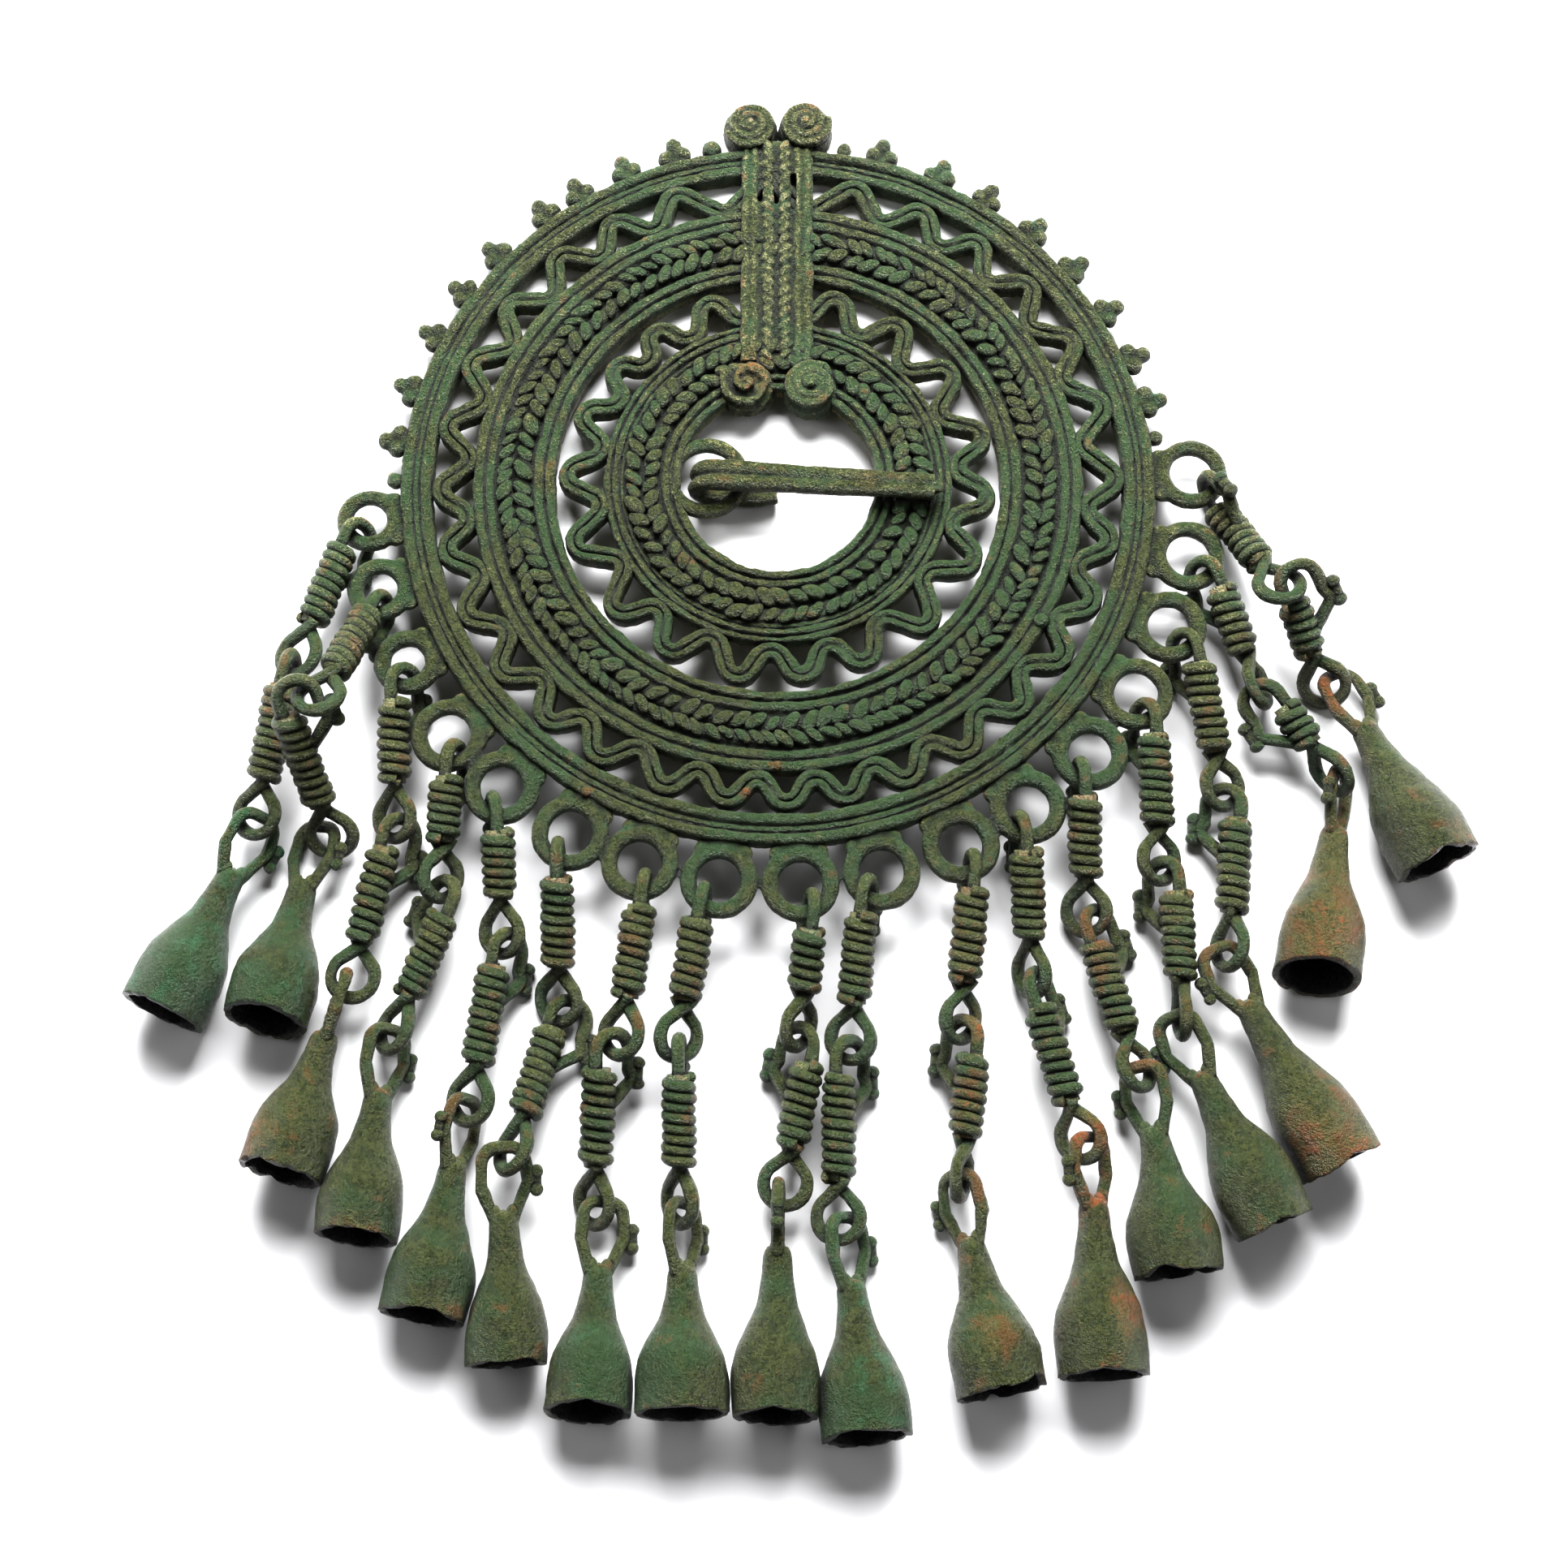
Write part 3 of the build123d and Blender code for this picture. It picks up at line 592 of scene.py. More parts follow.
bm = bmesh.new()
for side in (-1, 1):
    line = []
    for share in np.linspace(0, 1, 8):
        line.append(pin_point(5.4 - 9.0 * share, -2.6, side * (0.55 + 0.6 * min(1, 3 * share))))
    for step in range(1, 12):
        turn = radians(270 - 180 * step / 12)
        line.append(pin_point(-3.6 + 2.85 * cos(turn), 0.25 + 2.85 * sin(turn), side * 1.15))
    for share in np.linspace(0, 1, 26):
        narrow = 1.15 - 0.35 * share
        line.append(pin_point(-3.6 + 31.6 * share, 3.1 + 0.1 * sin(share * 9), side * narrow))
    def strand(share):
        return 0.95 + 0.25 * min(1, share * 6) - 0.3 * max(0, share - 0.7)
    sweep(bm, line, strand, 10)
ball(bm, pin_point(28.2, 3.05, 0), 1.0, 2, (1.3, 1.0, 0.9))
cast(bm, "pin_rod", PLATE, Finish(0.25, 1, 0.06, 0.16), body="pin", nodes=["pin"], warm=0.25)
print("pin", len(pieces[-1].data.polygons), "faces")

# %% [markdown]
# ## The chains
# Each chain hangs from its rim loop: an upper link, a lower link and a bell. The table gives how long each
# piece is, which way it points in plan, how steeply it falls and how it is rolled, and from it every piece
# finds where its neighbour hangs, just as the solids do.

# %% Tables of the chains
Link = namedtuple("Link", "length turn drop eye ring seat")
Bell = namedtuple("Bell", "length turn rise eye girth mouth bevel")
SEATS = [
    -117.3, -88.4, -95.8, -77.0, -103.1, -112.0, -83.4, -122.9, -71.4,
    -119.5, -71.4, -105.9, -110.0, -75.4, -60.0, -57.6, -43.8,
]
UPPER = [
    Link(12.7, -108.6, -0.9, -59.6, 24.5, -7.5),
    Link(13.0, -107.9, -28.1, -72.3, 14.5, -68.4),
    Link(12.3, -89.1, 10.0, -56.1, 31.5, 16.9),
    Link(9.7, -92.8, 9.1, -71.9, -48.7, 4.5),
    Link(9.8, -86.8, 12.6, -105.6, 30.9, 15.8),
    Link(12.9, -89.9, 18.6, -92.2, 25.6, 32.0),
    Link(13.1, -97.5, 4.8, -90.1, 33.6, -21.2),
    Link(11.7, -99.0, 5.1, -85.9, -37.1, 14.1),
    Link(9.0, -97.4, 14.6, -101.1, -55.6, 5.4),
    Link(12.8, -95.1, 11.3, -72.2, 25.5, 2.6),
    Link(13.5, -95.7, 10.1, -97.4, -42.4, 13.4),
    Link(12.6, -87.3, 12.6, -101.7, 57.0, 34.5),
    Link(11.8, -88.9, 14.7, -95.8, 30.1, 40.3),
    Link(13.3, -88.9, 6.8, -116.3, -33.0, 13.2),
    Link(13.5, -79.2, 9.8, -119.7, -27.7, -12.0),
    Link(10.6, -70.3, 6.1, -124.5, -56.1, -16.7),
    Link(12.3, -64.9, -25.8, 84.5, -10.8, 74.1),
]
LOWER = [
    Link(14.1, -99.8, 8.1, -86.2, 15.8, -2.7),
    Link(14.3, -73.2, 37.0, -2.5, -170.2, 71.6),
    Link(14.0, -101.0, 0.3, -43.2, -9.8, -22.9),
    Link(12.5, -112.3, 4.7, -140.3, 43.8, 1.1),
    Link(14.1, -98.9, 3.6, -51.2, 27.4, -13.1),
    Link(13.0, -104.5, -10.2, -22.8, 50.3, -21.8),
    Link(13.8, -92.3, 13.5, -38.9, 41.3, 35.0),
    Link(12.6, -89.3, 11.7, -88.2, 50.7, 9.9),
    Link(12.0, -100.2, 3.3, -145.8, 2.7, -8.1),
    Link(14.6, -90.4, 4.8, -41.7, 10.2, 21.9),
    Link(11.8, -96.2, 2.1, -137.8, 109.3, -19.8),
    Link(14.0, -73.2, 2.3, -53.8, 36.0, 8.7),
    Link(13.3, -73.6, -1.2, -39.0, -44.2, 10.8),
    Link(12.5, -89.8, -0.7, -133.5, 89.0, -20.1),
    Link(13.7, -96.2, -2.4, -147.9, 62.9, -10.2),
    Link(7.2, -55.9, 2.8, -165.3, 73.3, -23.5),
    Link(9.0, -61.9, 26.9, 17.9, 33.1, 47.2),
]
BELLS = [
    Bell(22.0, -112.8, 2.5, -37.2, 1.05, 5.8, 8),
    Bell(21.0, -100.1, 9.6, 23.1, 1.05, 5.8, 8),
    Bell(20.1, -104.4, 4.8, -104.8, 1.04, 5.7, 8),
    Bell(20.2, -95.5, 5.9, -46.8, 1.0, 5.5, 8),
    Bell(21.1, -98.9, 4.8, 121.0, 1.04, 5.7, 8),
    Bell(20.4, -87.3, -1.9, -14.5, 0.94, 5.2, 10),
    Bell(19.8, -92.7, 7.4, -25.7, 1.05, 5.8, 12),
    Bell(19.1, -88.9, 7.4, -55.0, 1.09, 6.0, 6),
    Bell(22.2, -90.8, 7.5, 91.9, 1.0, 5.5, 8),
    Bell(20.7, -84.7, 5.3, -44.4, 1.06, 5.8, 10),
    Bell(20.5, -79.7, 5.9, -138.5, 1.07, 5.9, 6),
    Bell(23.3, -88.6, 0.5, 139.3, 1.08, 5.9, 10),
    Bell(19.5, -82.6, 3.0, -140.5, 1.08, 5.9, 4),
    Bell(21.9, -66.7, 3.5, -143.6, 1.03, 5.7, 0),
    Bell(24.4, -62.7, 2.3, 170.1, 1.03, 5.7, 0),
    Bell(22.9, -101.7, 6.7, 122.9, 1.07, 5.9, 12),
    Bell(22.2, -68.2, 8.1, -18.1, 1.08, 5.9, 0),
]

# %% [markdown]
# ## A wound link
# Wire was wound round a core between an eye that hooks into the loop above and a foot ring that carries
# the next piece. The winding is a helix, the eye is a bent wire that comes back down beside the body and
# carries a crossbar with a lobe at either end.

# %% Modelling a link
EYE_PATH = [(-0.65, -1.0), (-0.65, 4.35), (4.65, 4.35), (4.65, -0.6), (5.4, -2.0), (1.1, -6.0)]
EYE_FILLETS = [2.5, 2.5, 1.0, 1.1]
FOOT_REACH = 4.6
FOOT_RADIUS = 2.95
FOOT_WIRE = 0.85


def across(along, roll):
    level = Vector((-along.y, along.x, 0)).normalized()
    return level * cos(radians(roll)) + along.cross(level) * sin(radians(roll))


def heading(turn, drop):
    plan = cos(radians(drop))
    return Vector((cos(radians(turn)) * plan, sin(radians(turn)) * plan, -sin(radians(drop))))


def foot_path(length, roll):
    """The foot ring as a teardrop whose two strands cross where they leave the winding."""
    side = Vector((cos(roll), -sin(roll), 0))
    out = Vector((sin(roll), cos(roll), 0))
    down = Vector((0, 0, -1))
    foot = length + FOOT_REACH
    root = FOOT_REACH + 0.5
    lean = acos(FOOT_RADIUS / root)
    points = [(-0.9, -length + 0.9, 0.75), (-0.25, -length - 0.3, 0.45)]
    line = [side * u + out * w + Vector((0, 0, v)) for u, v, w in points]
    for step in range(21):
        turn = lean + (tau - 2 * lean) * step / 20
        line.append(down * foot + side * (FOOT_RADIUS * sin(turn)) - down * (FOOT_RADIUS * cos(turn)))
    points = [(0.25, -length - 0.3, -0.45), (0.9, -length + 0.9, -0.75)]
    line += [side * u + out * w + Vector((0, 0, v)) for u, v, w in points]
    return line


def model_link(row, rng):
    bm = bmesh.new()
    bmesh.ops.create_cone(
        bm, cap_ends=True, segments=14, radius1=1.6, radius2=1.6, depth=row.length - 0.5,
        matrix=Matrix.Translation((0, 0, -row.length / 2)),
    )
    turns = round(row.length / 1.65)
    start = rng.uniform(0, 360)
    wobble = [rng.uniform(-1, 1) for _ in range(turns + 2)]
    line = []
    for step in range(turns * 18 + 1):
        share = step / (turns * 18)
        turn = share * turns
        sag = 0.07 * np.interp(turn, range(turns + 2), wobble)
        line.append(polar(1.62 + sag, start + 360 * turn, -0.65 - (row.length - 1.3) * share))
    sweep(bm, line, lambda share: 0.82 + 0.06 * sin(share * 37 + start), 10)
    eye = [Vector((p.x, 0, p.y)) for p in rounded([(u, v, 0) for u, v in EYE_PATH], EYE_FILLETS)]
    sweep(bm, finer(eye, 0.7), lambda share: 0.92 + 0.04 * sin(share * 23 + start), 10)
    sweep(bm, [Vector((6.2, 0, v)) for v in (0.2, -0.4, -1.0, -1.7, -2.3, -2.9)], 0.85, 10)
    for v in (0.05, -2.75):
        ball(bm, (6.2, 0, v), 1.1, 3, (1.0, 1.0, rng.uniform(0.8, 0.95)))
    foot = foot_path(row.length, radians(row.ring - row.eye))
    sweep(bm, finer(foot, 0.7), lambda share: FOOT_WIRE + 0.06 + 0.06 * sin(share * 19 + start), 10)
    return bm


# %% [markdown]
# ## An open bell
# A bell is a hollow trumpet. Its wall is drawn as one line, down the outside and up the inside, and spun;
# the mouth is then cut aslant with a plane and the two rims are bridged. Old bells are dented and their
# mouths are ragged, so noise swells the wall and nibbles the rim, and some have a piece broken out.

# %% Modelling a bell
BELL_OUTSIDE = [
    (-0.04, 0.0), (-0.03, 1.2), (0.0, 1.9), (0.15, 2.1), (0.32, 2.75), (0.45, 4.0), (0.58, 5.15), (0.72, 5.6),
]
BELL_INSIDE = [(0.36, 0.0), (0.37, 1.7), (0.45, 3.0), (0.61, 4.2), (0.75, 4.65)]
BELL_NECK = 0.25
BELL_WALL = 0.95
BELL_EYE_PATH = [(-1.15, -0.8), (-2.9, 3.6), (-2.7, 8.8), (2.7, 8.8), (3.4, 4.4), (1.15, -0.8)]
BELL_EYE_FILLETS = [1.5, 2.0, 2.0, 1.5]

# How each bell looks: its tone, how rough it is, and where round its mouth it is broken and how deeply.
Look = namedtuple("Look", "warm rough broken deep", defaults=(0.0, 1.0, 0.0, 0.0))
LOOKS = [
    Look(-0.6, 1.0),
    Look(-0.2, 1.2, 200, 0.8),
    Look(0.45, 1.3, 60, 0.8),
    Look(0.1, 0.8),
    Look(0.1, 1.0, 100, 0.6),
    Look(0.2, 1.2, 130, 0.8),
    Look(-0.1, 0.9, 90, 1.0),
    Look(0.0, 0.7),
    Look(0.05, 0.7, 90, 0.6),
    Look(-0.35, 1.1, 70, 0.6),
    Look(0.25, 1.9, 150, 1.6),
    Look(0.4, 1.2, 80, 0.7),
    Look(0.1, 1.0, 60, 1.4),
    Look(0.15, 1.0, 90, 0.8),
    Look(0.5, 1.2, 100, 0.8),
    Look(0.6, 1.0, 90, 0.5),
    Look(0.35, 1.2, 90, 0.8),
]


def bell_side(table, row, mouth, step):
    """Points down one side of a bell's wall, through the table's corners without kinks."""
    table = table + [(1.0, mouth / row.girth)]
    shares = np.linspace(table[0][0], 1, round((1 - table[0][0]) * row.length / step))
    radii = np.interp(shares, [share for share, radius in table], [radius for share, radius in table])
    for _ in range(round(1.2 / step)):
        radii[2:-1] = (radii[1:-2] + radii[2:-1] * 2 + radii[3:]) / 4
    girth = np.where(shares > BELL_NECK, row.girth, 1 + (row.girth - 1) * np.clip(shares / BELL_NECK, 0, 1))
    return [Vector((radius, 0, -share * row.length)) for radius, share in zip(radii * girth, shares)]


def model_bell(row, look, up, rng):
    bm = bmesh.new()
    outside = bell_side(BELL_OUTSIDE, row, row.mouth, 0.5)
    inside = bell_side(BELL_INSIDE, row, row.mouth - BELL_WALL, 0.9)
    verts = [bm.verts.new(point) for point in outside + inside[::-1]]
    edges = [bm.edges.new(pair) for pair in zip(verts, verts[1:])]
    bmesh.ops.spin(bm, geom=verts + edges, axis=(0, 0, 1), cent=(0, 0, 0), angle=tau, steps=60, use_merge=True)
    bmesh.ops.remove_doubles(bm, verts=bm.verts, dist=0.001)
    if row.bevel > 0:
        lip = Vector((0, 0, -row.length)) - up * row.mouth
        slant = up * sin(radians(row.bevel)) - Vector((0, 0, cos(radians(row.bevel))))
        bmesh.ops.bisect_plane(
            bm, geom=bm.verts[:] + bm.edges[:] + bm.faces[:], plane_co=lip, plane_no=slant, clear_outer=True
        )
        bmesh.ops.bridge_loops(bm, edges=[edge for edge in bm.edges if edge.is_boundary])
    shift = Vector((rng.uniform(0, 50), rng.uniform(0, 50), 0))
    aside = up.cross(Vector((0, 0, 1)))
    for vert in bm.verts:
        reach = -vert.co.z / row.length
        dent = noise.noise(Vector((vert.co.x * 0.16, vert.co.y * 0.16, vert.co.z * 0.12)) + shift)
        swell = 1 + 0.1 * dent * min(1, reach * 2)
        vert.co.x *= swell
        vert.co.y *= swell
        if reach > 0.8:
            turn = degrees(atan2(vert.co.dot(up), vert.co.dot(aside)))
            ragged = noise.noise(Vector((vert.co.x * 0.55, vert.co.y * 0.55, 0)) + shift * 2)
            away = abs((turn - look.broken + 180) % 360 - 180)
            gone = 0.2 + 0.9 * look.rough * max(0, ragged) + look.deep * max(0, 1 - away / 32)
            vert.co.z += gone * (reach - 0.8) / 0.2
    eye = [Vector((p.x, 0, p.y)) for p in rounded([(u, v, 0) for u, v in BELL_EYE_PATH], BELL_EYE_FILLETS)]
    sweep(bm, finer(eye, 0.8), lambda share: 0.86 + 0.05 * sin(share * 21 + shift.x), 10)
    sweep(bm, [Vector((4.5, 0, v)) for v in (5.7, 5.0, 4.3, 3.6, 2.9)], 0.66, 10)
    for v in (5.5, 3.1):
        ball(bm, (4.5, 0, v), 0.9, 3)
    for side in (-1, 1):
        ball(bm, (side * 1.2, 0, 0.2), 1.0, 2, (0.95, 1.1, 1.3))
    return bm


# %% Hanging all seventeen chains
def hang_link(name, hook, row):
    along = heading(row.turn, row.drop)
    spur = across(along, row.eye)
    top = hook + along * 1.7 - spur * 2.0
    bm = model_link(row, Random(name))
    cast(bm, name + "_piece", frame_of(top, spur, -along), LINK_FINISH, nodes=[name])
    seat = radians(row.seat)
    ring = along * (row.length + FOOT_REACH + FOOT_RADIUS * cos(seat))
    return top + ring + across(along, row.ring) * (FOOT_RADIUS * sin(seat))


def hang_bell(name, hook, row, look):
    along = heading(row.turn, -row.rise)
    spur = across(along, row.eye)
    top = hook + along * 6.0
    place = frame_of(top, spur, -along)
    up = (place.to_3x3().inverted() @ across(along, 90)).normalized()
    bm = model_bell(row, look, up, Random(name))
    finish = Finish(0, 0, 0.05 * look.rough, 0.12 * look.rough, 10)
    piece = cast(bm, name + "_piece", place, finish, nodes=[name], warm=look.warm)
    # Mark the inside wall of the bell as "hollow"; the material paints it near black as painted shade.
    back = np.array(place.inverted())
    spots = read(piece.data.vertices, "co", 3) @ back[:3, :3].T + back[:3, 3]
    facing = (read(piece.data.vertex_normals, "vector", 3) @ back[:3, :3].T * spots)[:, :2].sum(1)
    hollow = (facing < 0) & (spots[:, 2] < -0.37 * row.length)
    piece.data.attributes.new("hollow", "FLOAT", "POINT").data.foreach_set("value", hollow.astype(np.float32))
    return piece


LINK_FINISH = Finish(0, 0, 0.06, 0.1, 8)
tilt = MM.inverted() @ PLATE
for number in range(1, 18):
    loop = RIM_LOOPS[number - 1]
    hook = tilt @ (polar(loop.reach, loop.angle, 1.35) + polar(loop.radius, SEATS[number - 1]))
    hook = hang_link(f"upper_link_{number}", hook, UPPER[number - 1])
    hook = hang_link(f"lower_link_{number}", hook, LOWER[number - 1])
    hang_bell(f"bell_{number}", hook, BELLS[number - 1], LOOKS[number - 1])
counts = {piece.name: len(piece.data.loops) - 2 * len(piece.data.polygons) for piece in pieces}
print("triangles added", sum(counts.values()), "largest", max((count, name) for name, count in counts.items()))

# %% [markdown]
# ## How open each spot lies
# Dirt stays and shade falls where the metal is closed in: between two coils, in a groove, under a link. From
# every vertex a few rays are sent out over its surface. Those that soon strike metal tell how closed in it is,
# and the share of the sky that is left goes to the material as the attribute "open". Where little sky is left
# the material paints the metal near black, partly as dirt and partly as painted shade.

# %% Sending out the rays
REACH = 0.003
RAYS = 7


def gathered():
    """All pieces as one tree of faces that rays can strike."""
    spots, faces, first = [], [], 0
    for piece in pieces:
        mesh = piece.data
        spots.append(read(mesh.vertices, "co", 3))
        corners = (read(mesh.loops, "vertex_index", 1).astype(int) + first).tolist()
        starts = read(mesh.polygons, "loop_start", 1).astype(int).tolist() + [len(corners)]
        faces += [corners[one:two] for one, two in zip(starts, starts[1:])]
        first += len(mesh.vertices)
    return BVHTree.FromPolygons(np.concatenate(spots).tolist(), faces)


def openness(mesh, tree, spin):
    spots = read(mesh.vertices, "co", 3)
    normals = read(mesh.vertex_normals, "vector", 3)
    tilted = np.where(np.abs(normals[:, 2:]) < 0.9, [[0, 0, 1]], [[1, 0, 0]])
    side = np.cross(normals, tilted)
    side /= np.linalg.norm(side, axis=1)[:, None]
    other = np.cross(normals, side)
    start = (spots + normals * 0.00006).tolist()
    shut = np.zeros(len(spots))
    turns = spin.uniform(0, tau, len(spots))
    for ray in range(RAYS):
        lift = (ray + 0.5) / RAYS
        flat = np.sqrt(1 - lift)
        angle = (turns + ray * 2.4)[:, None]
        ways = normals * np.sqrt(lift) + (side * np.cos(angle) + other * np.sin(angle)) * flat
        struck = [tree.ray_cast(one, way, REACH)[3] for one, way in zip(start, ways.tolist())]
        shut += [0 if far is None else 1 - far / REACH for far in struck]
    return 1 - shut / RAYS


tree = gathered()
spin = np.random.default_rng(5)
for piece in pieces:
    mesh = piece.data
    sky = openness(mesh, tree, spin)
    ends = read(mesh.edges, "vertices", 2).astype(int)
    total = np.bincount(ends[:, 0], sky[ends[:, 1]], len(sky))
    total += np.bincount(ends[:, 1], sky[ends[:, 0]], len(sky))
    beside = np.maximum(np.bincount(ends.ravel(), minlength=len(sky)), 1)
    sky = (sky + total / beside) / 2
    mesh.attributes.new("open", "FLOAT", "POINT").data.foreach_set("value", sky.astype(np.float32))
print("open from", round(float(sky.min()), 2), "to", round(float(sky.max()), 2), "on the last bell")

# %% [markdown]
# ## The patina
# Buried copper alloy grows a skin: a dark olive ground, paler green where copper salts bloomed, brown and
# copper red where the skin was rubbed off the high points, and near black in every groove, partly dirt and
# partly painted shade. Light cream specks with painted highlights on the proud crests, and painted shade
# inside the bells, are mixed in as well. One material does all of it from object coordinates and the relief
# and openness that were measured on each vertex, so the colours run on from one piece to the next as they
# would on one casting.

# %% Shader sums as Python sums
class Value:
    """A socket that can be added, multiplied and compared like a number."""

    def __init__(self, paint, socket):
        self.paint = paint
        self.socket = socket

    def sum(self, operation, one, two, clamp=False):
        settings = {"operation": operation, "use_clamp": clamp}
        return self.paint.node("ShaderNodeMath", settings, {0: one, 1: two})

    def __add__(self, other):
        return self.sum("ADD", self, other)

    def __radd__(self, other):
        return self.sum("ADD", other, self)

    def __sub__(self, other):
        return self.sum("SUBTRACT", self, other)

    def __rsub__(self, other):
        return self.sum("SUBTRACT", other, self)

    def __mul__(self, other):
        return self.sum("MULTIPLY", self, other)

    def __rmul__(self, other):
        return self.sum("MULTIPLY", other, self)

    def step(self, low, high):
        """0 below low, 1 above high and a smooth rise between them."""
        settings = {"interpolation_type": "SMOOTHSTEP"}
        inputs = {"Value": self, "From Min": low, "From Max": high}
        return self.paint.node("ShaderNodeMapRange", settings, inputs)


class Paint:
    """The node tree of one material."""

    def __init__(self, name):
        self.material = bpy.data.materials.new(name)
        self.material.use_nodes = True
        self.tree = self.material.node_tree
        self.shader = self.tree.nodes["Principled BSDF"]
        self.spots = self.node("ShaderNodeTexCoord", out="Object")

    def node(self, kind, settings=None, inputs=None, out=0):
        node = self.tree.nodes.new(kind)
        for name, value in (settings or {}).items():
            setattr(node, name, value)
        for name, value in (inputs or {}).items():
            self.put(node.inputs[name], value)
        return Value(self, node.outputs[out])

    def put(self, socket, value):
        if isinstance(value, Value):
            self.tree.links.new(value.socket, socket)
        else:
            socket.default_value = value

    def mottle(self, scale, detail=3.0, roughness=0.55):
        """Noise around 0 that mostly stays between -1 and 1."""
        inputs = {"Vector": self.spots, "Scale": scale, "Detail": detail, "Roughness": roughness}
        return (self.node("ShaderNodeTexNoise", None, inputs, "Fac") - 0.5) * 6

    def axis(self, name):
        """One coordinate of the spot, in metres."""
        return self.node("ShaderNodeSeparateXYZ", None, {"Vector": self.spots}, name)

    def attribute(self, name):
        return self.node("ShaderNodeAttribute", {"attribute_name": name}, None, "Fac")

    def mix(self, one, two, share):
        return self.node("ShaderNodeMix", {"data_type": "RGBA"}, {0: share, 6: one, 7: two}, 2)

    def finish(self, **sockets):
        for name, value in sockets.items():
            self.put(self.shader.inputs[name.replace("_", " ")], value)


# %% Mixing the patina
DARK = (0.008, 0.014, 0.004, 1)
OLIVE = (0.066, 0.076, 0.022, 1)
MOSS = (0.022, 0.056, 0.020, 1)
BLOOM = (0.036, 0.135, 0.066, 1)
PALE_AND_HIGHLIGHT = (0.290, 0.290, 0.160, 1)
BROWN = (0.105, 0.048, 0.015, 1)
COPPER = (0.220, 0.060, 0.018, 1)
OCHRE = (0.150, 0.110, 0.034, 1)
DIRT_AND_SHADE = (0.004, 0.006, 0.002, 1)
INSIDE_SHADE = (0.004, 0.004, 0.003, 1)

patina = Paint("patina")
relief = patina.attribute("relief")
warm = patina.attribute("warm")
shut = 1 - patina.attribute("open")
broad = patina.mottle(70, 3)
patch = patina.mottle(260, 4, 0.6)
speck = patina.mottle(900, 7, 0.7)
fleck = patina.mottle(2600, 3, 0.7)
grit = patina.mottle(5600, 2, 0.6)
# The upper part of the plate is dry and grainy, the chains are smooth and glossy.
dry = patina.axis("Y").step(-0.06, 0.02)
grains = (fleck * 0.6 + grit * 0.6) * (dry * 0.5 + 0.7)
green = (broad + patch * 0.5 - warm).step(-0.4, 0.6)
bloom = (patch + grains * 0.6 - warm - 0.5).step(0, 0.8)
yellow = (broad * 0.6 + patch * 0.4 + grains * 0.6 + warm * 1.4 - 0.7).step(-0.2, 1.2)
brown = (relief * 0.7 + patch + grains * 0.4 + warm * 0.8 - 0.7).step(0, 0.8)
# Light cream specks, and light cream painted highlights on the proud crests.
pale_and_highlight_mask = (grains * 1.2 + speck * 0.4 + relief * 0.8 + dry * 0.4 - 1.05).step(0, 1.0)
red = (relief * 0.6 + speck * 0.9 + grains * 0.3 + warm - 1.2).step(0, 0.6)
# Near black where little sky is open, in grooves, between coils and under links: partly dirt, partly painted
# shade.
dirt_and_shade_mask = (shut * 3.6 - relief * 0.5 + grains * 0.4 - 0.6).step(0, 0.9)
colour = patina.mix(DARK, OLIVE, (grains * 1.2 + speck * 0.5 + relief * 0.5).step(-0.9, 0.9))
colour = patina.mix(colour, MOSS, green * 0.75)
colour = patina.mix(colour, BLOOM, bloom * 0.4)
colour = patina.mix(colour, OCHRE, yellow * 0.6)
colour = patina.mix(colour, BROWN, brown * 0.8)
# Mix in the light cream specks and painted highlights.
colour = patina.mix(colour, PALE_AND_HIGHLIGHT, pale_and_highlight_mask * 0.75)
colour = patina.mix(colour, COPPER, red * 0.7)
colour = patina.mix(colour, DARK, (1 - dry) * 0.32)
# Mix in the near black of dirt and painted shade.
colour = patina.mix(colour, DIRT_AND_SHADE, dirt_and_shade_mask * 0.95)
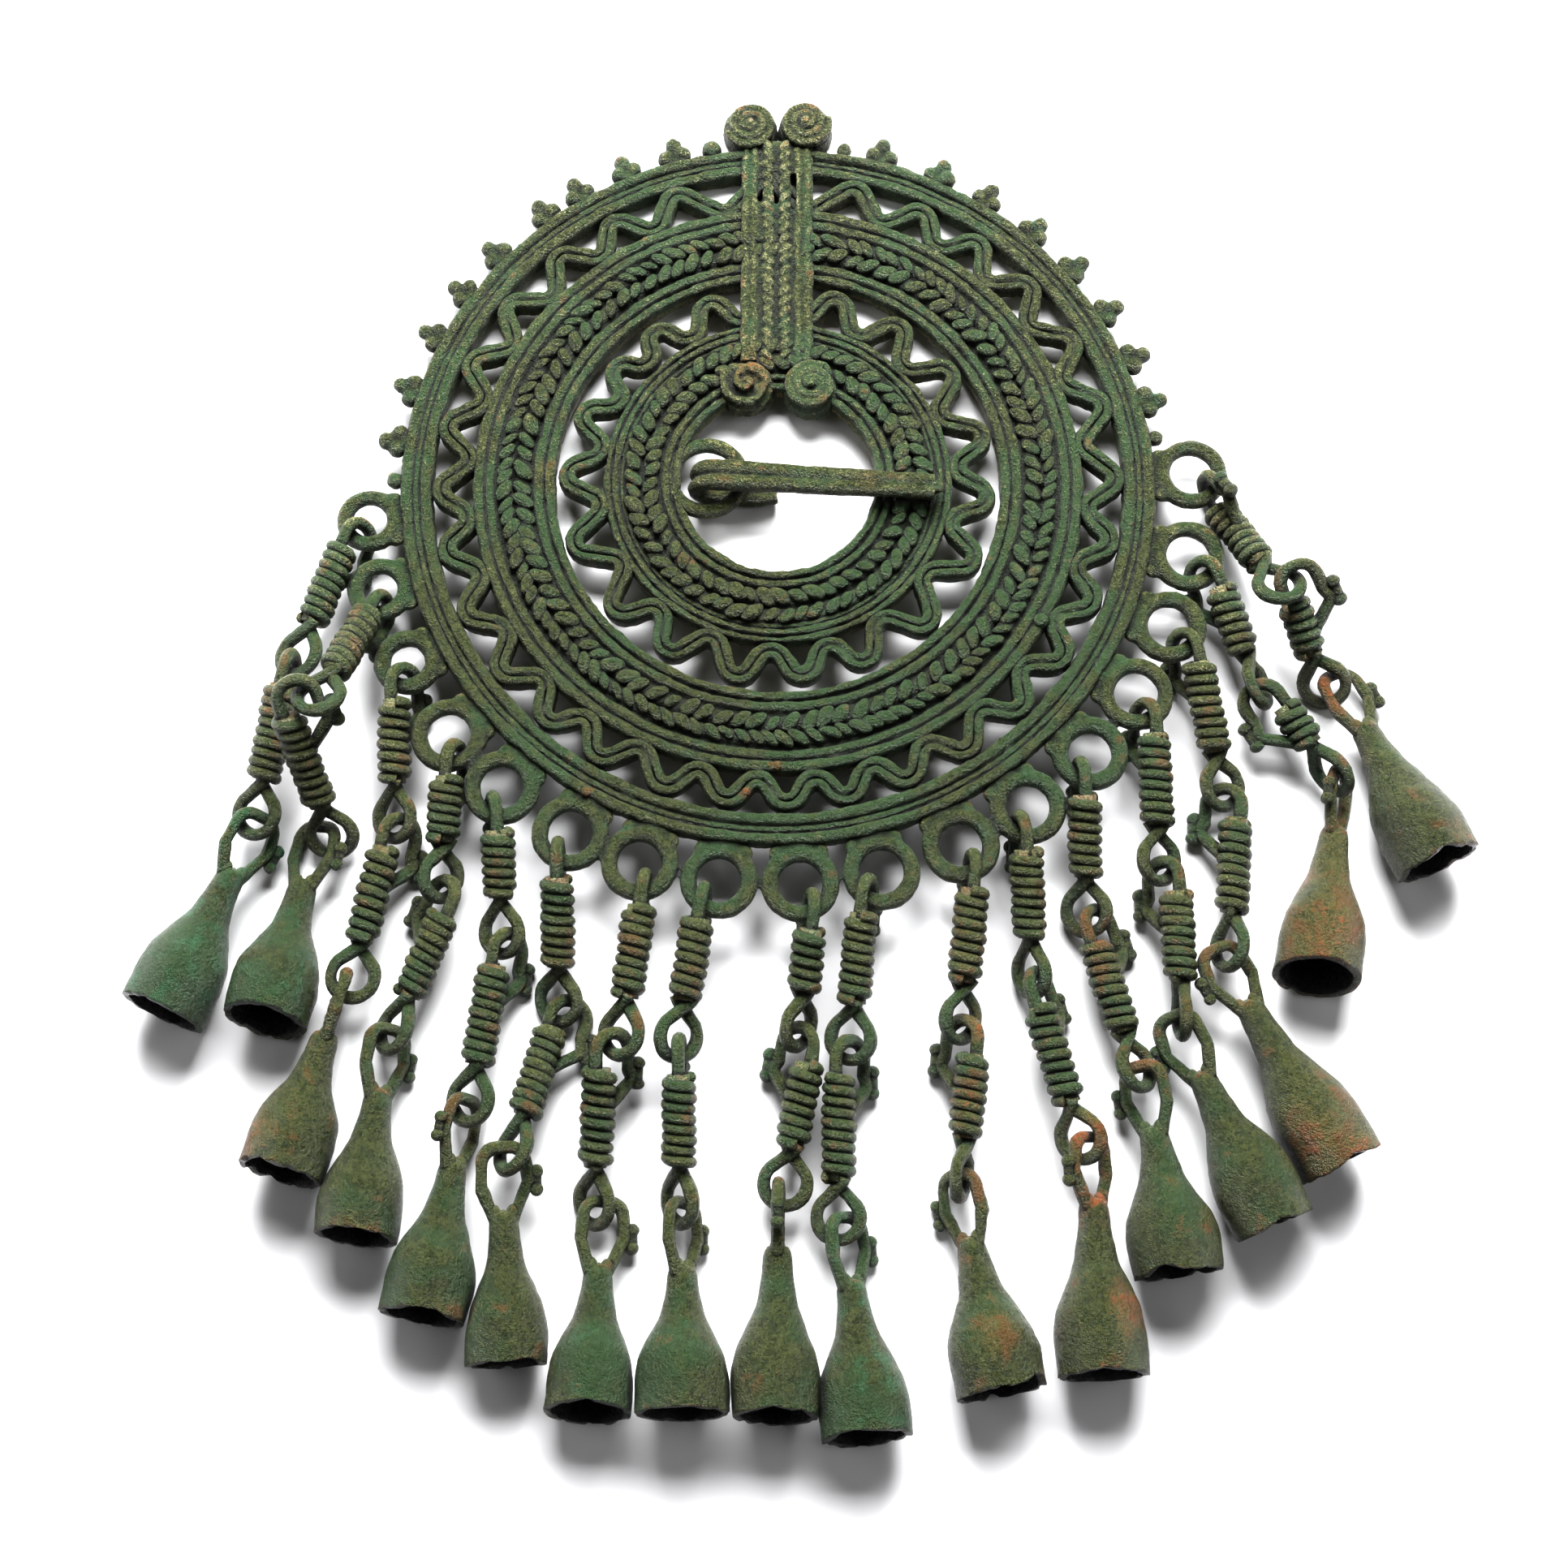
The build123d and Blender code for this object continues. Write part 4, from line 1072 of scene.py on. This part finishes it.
# The inside wall of each bell is painted near black: painted shade.
colour = patina.mix(colour, INSIDE_SHADE, patina.attribute("hollow"))
gloss = 0.27 + dry * 0.12 + speck * 0.06 + shut * 0.3
height = speck * 0.16 + (fleck * 0.26 + grit * 0.13) * (dry * 0.4 + 0.6)
bump = patina.node("ShaderNodeBump", None, {"Strength": 1.0, "Distance": 0.0005, "Height": height}, "Normal")
patina.finish(Base_Color=colour, Roughness=gloss, Metallic=0.1, Specular_IOR_Level=0.45, Normal=bump)
for piece in pieces:
    piece.data.materials.clear()
    piece.data.materials.append(patina.material)
print(len(patina.tree.nodes), "nodes in the patina")

# %% [markdown]
# ## Floor, light and camera
# The photograph was taken almost straight from above on a white table under large soft lamps. The floor
# is burnt out to white away from the brooch and keeps soft grey shadows close to it.

# %% The stage
bm = bmesh.new()
bmesh.ops.create_grid(bm, x_segments=1, y_segments=1, size=3.0)
floor = bpy.data.objects.new("floor", mesh_of(bm))
bpy.context.scene.collection.objects.link(floor)
paper = Paint("paper")
paper.finish(Base_Color=(0.62, 0.62, 0.63, 1), Roughness=0.9)
floor.data.materials.append(paper.material)

world = bpy.data.worlds.new("studio")
bpy.context.scene.world = world
world.use_nodes = True
world.node_tree.nodes["Background"].inputs["Color"].default_value = (1, 1, 1, 1)
world.node_tree.nodes["Background"].inputs["Strength"].default_value = 0.03


def softbox(name, place, target, size, power):
    lamp = bpy.data.lights.new(name, "AREA")
    lamp.shape = "SQUARE"
    lamp.size = size
    lamp.energy = power
    lamp_object = bpy.data.objects.new(name, lamp)
    lamp_object.location = place
    lamp_object.rotation_euler = (Vector(target) - Vector(place)).to_track_quat("-Z", "Y").to_euler()
    bpy.context.scene.collection.objects.link(lamp_object)


softbox("key", (0.02, 0.46, 0.44), (0, -0.03, 0), 0.46, 21.0)
softbox("fill", (-0.5, 0.0, 0.5), (0, -0.03, 0), 0.4, 0.8)
softbox("back", (0.5, -0.1, 0.5), (0, -0.03, 0), 0.4, 0.8)

scene = bpy.context.scene
scene.view_settings.view_transform = "Standard"
scene.view_settings.exposure = 0.7
scene.view_settings.gamma = 0.82
lens = bpy.data.cameras.new("camera")
lens.sensor_width = 36
lens.lens = 2500 / 1932 * 36
lens.clip_start = 0.01
camera = bpy.data.objects.new("camera", lens)
camera.location = (0.0009, -0.1103, 0.2817)
camera.rotation_euler = (radians(90 - 76.8), 0, 0)
scene.collection.objects.link(camera)
scene.camera = camera
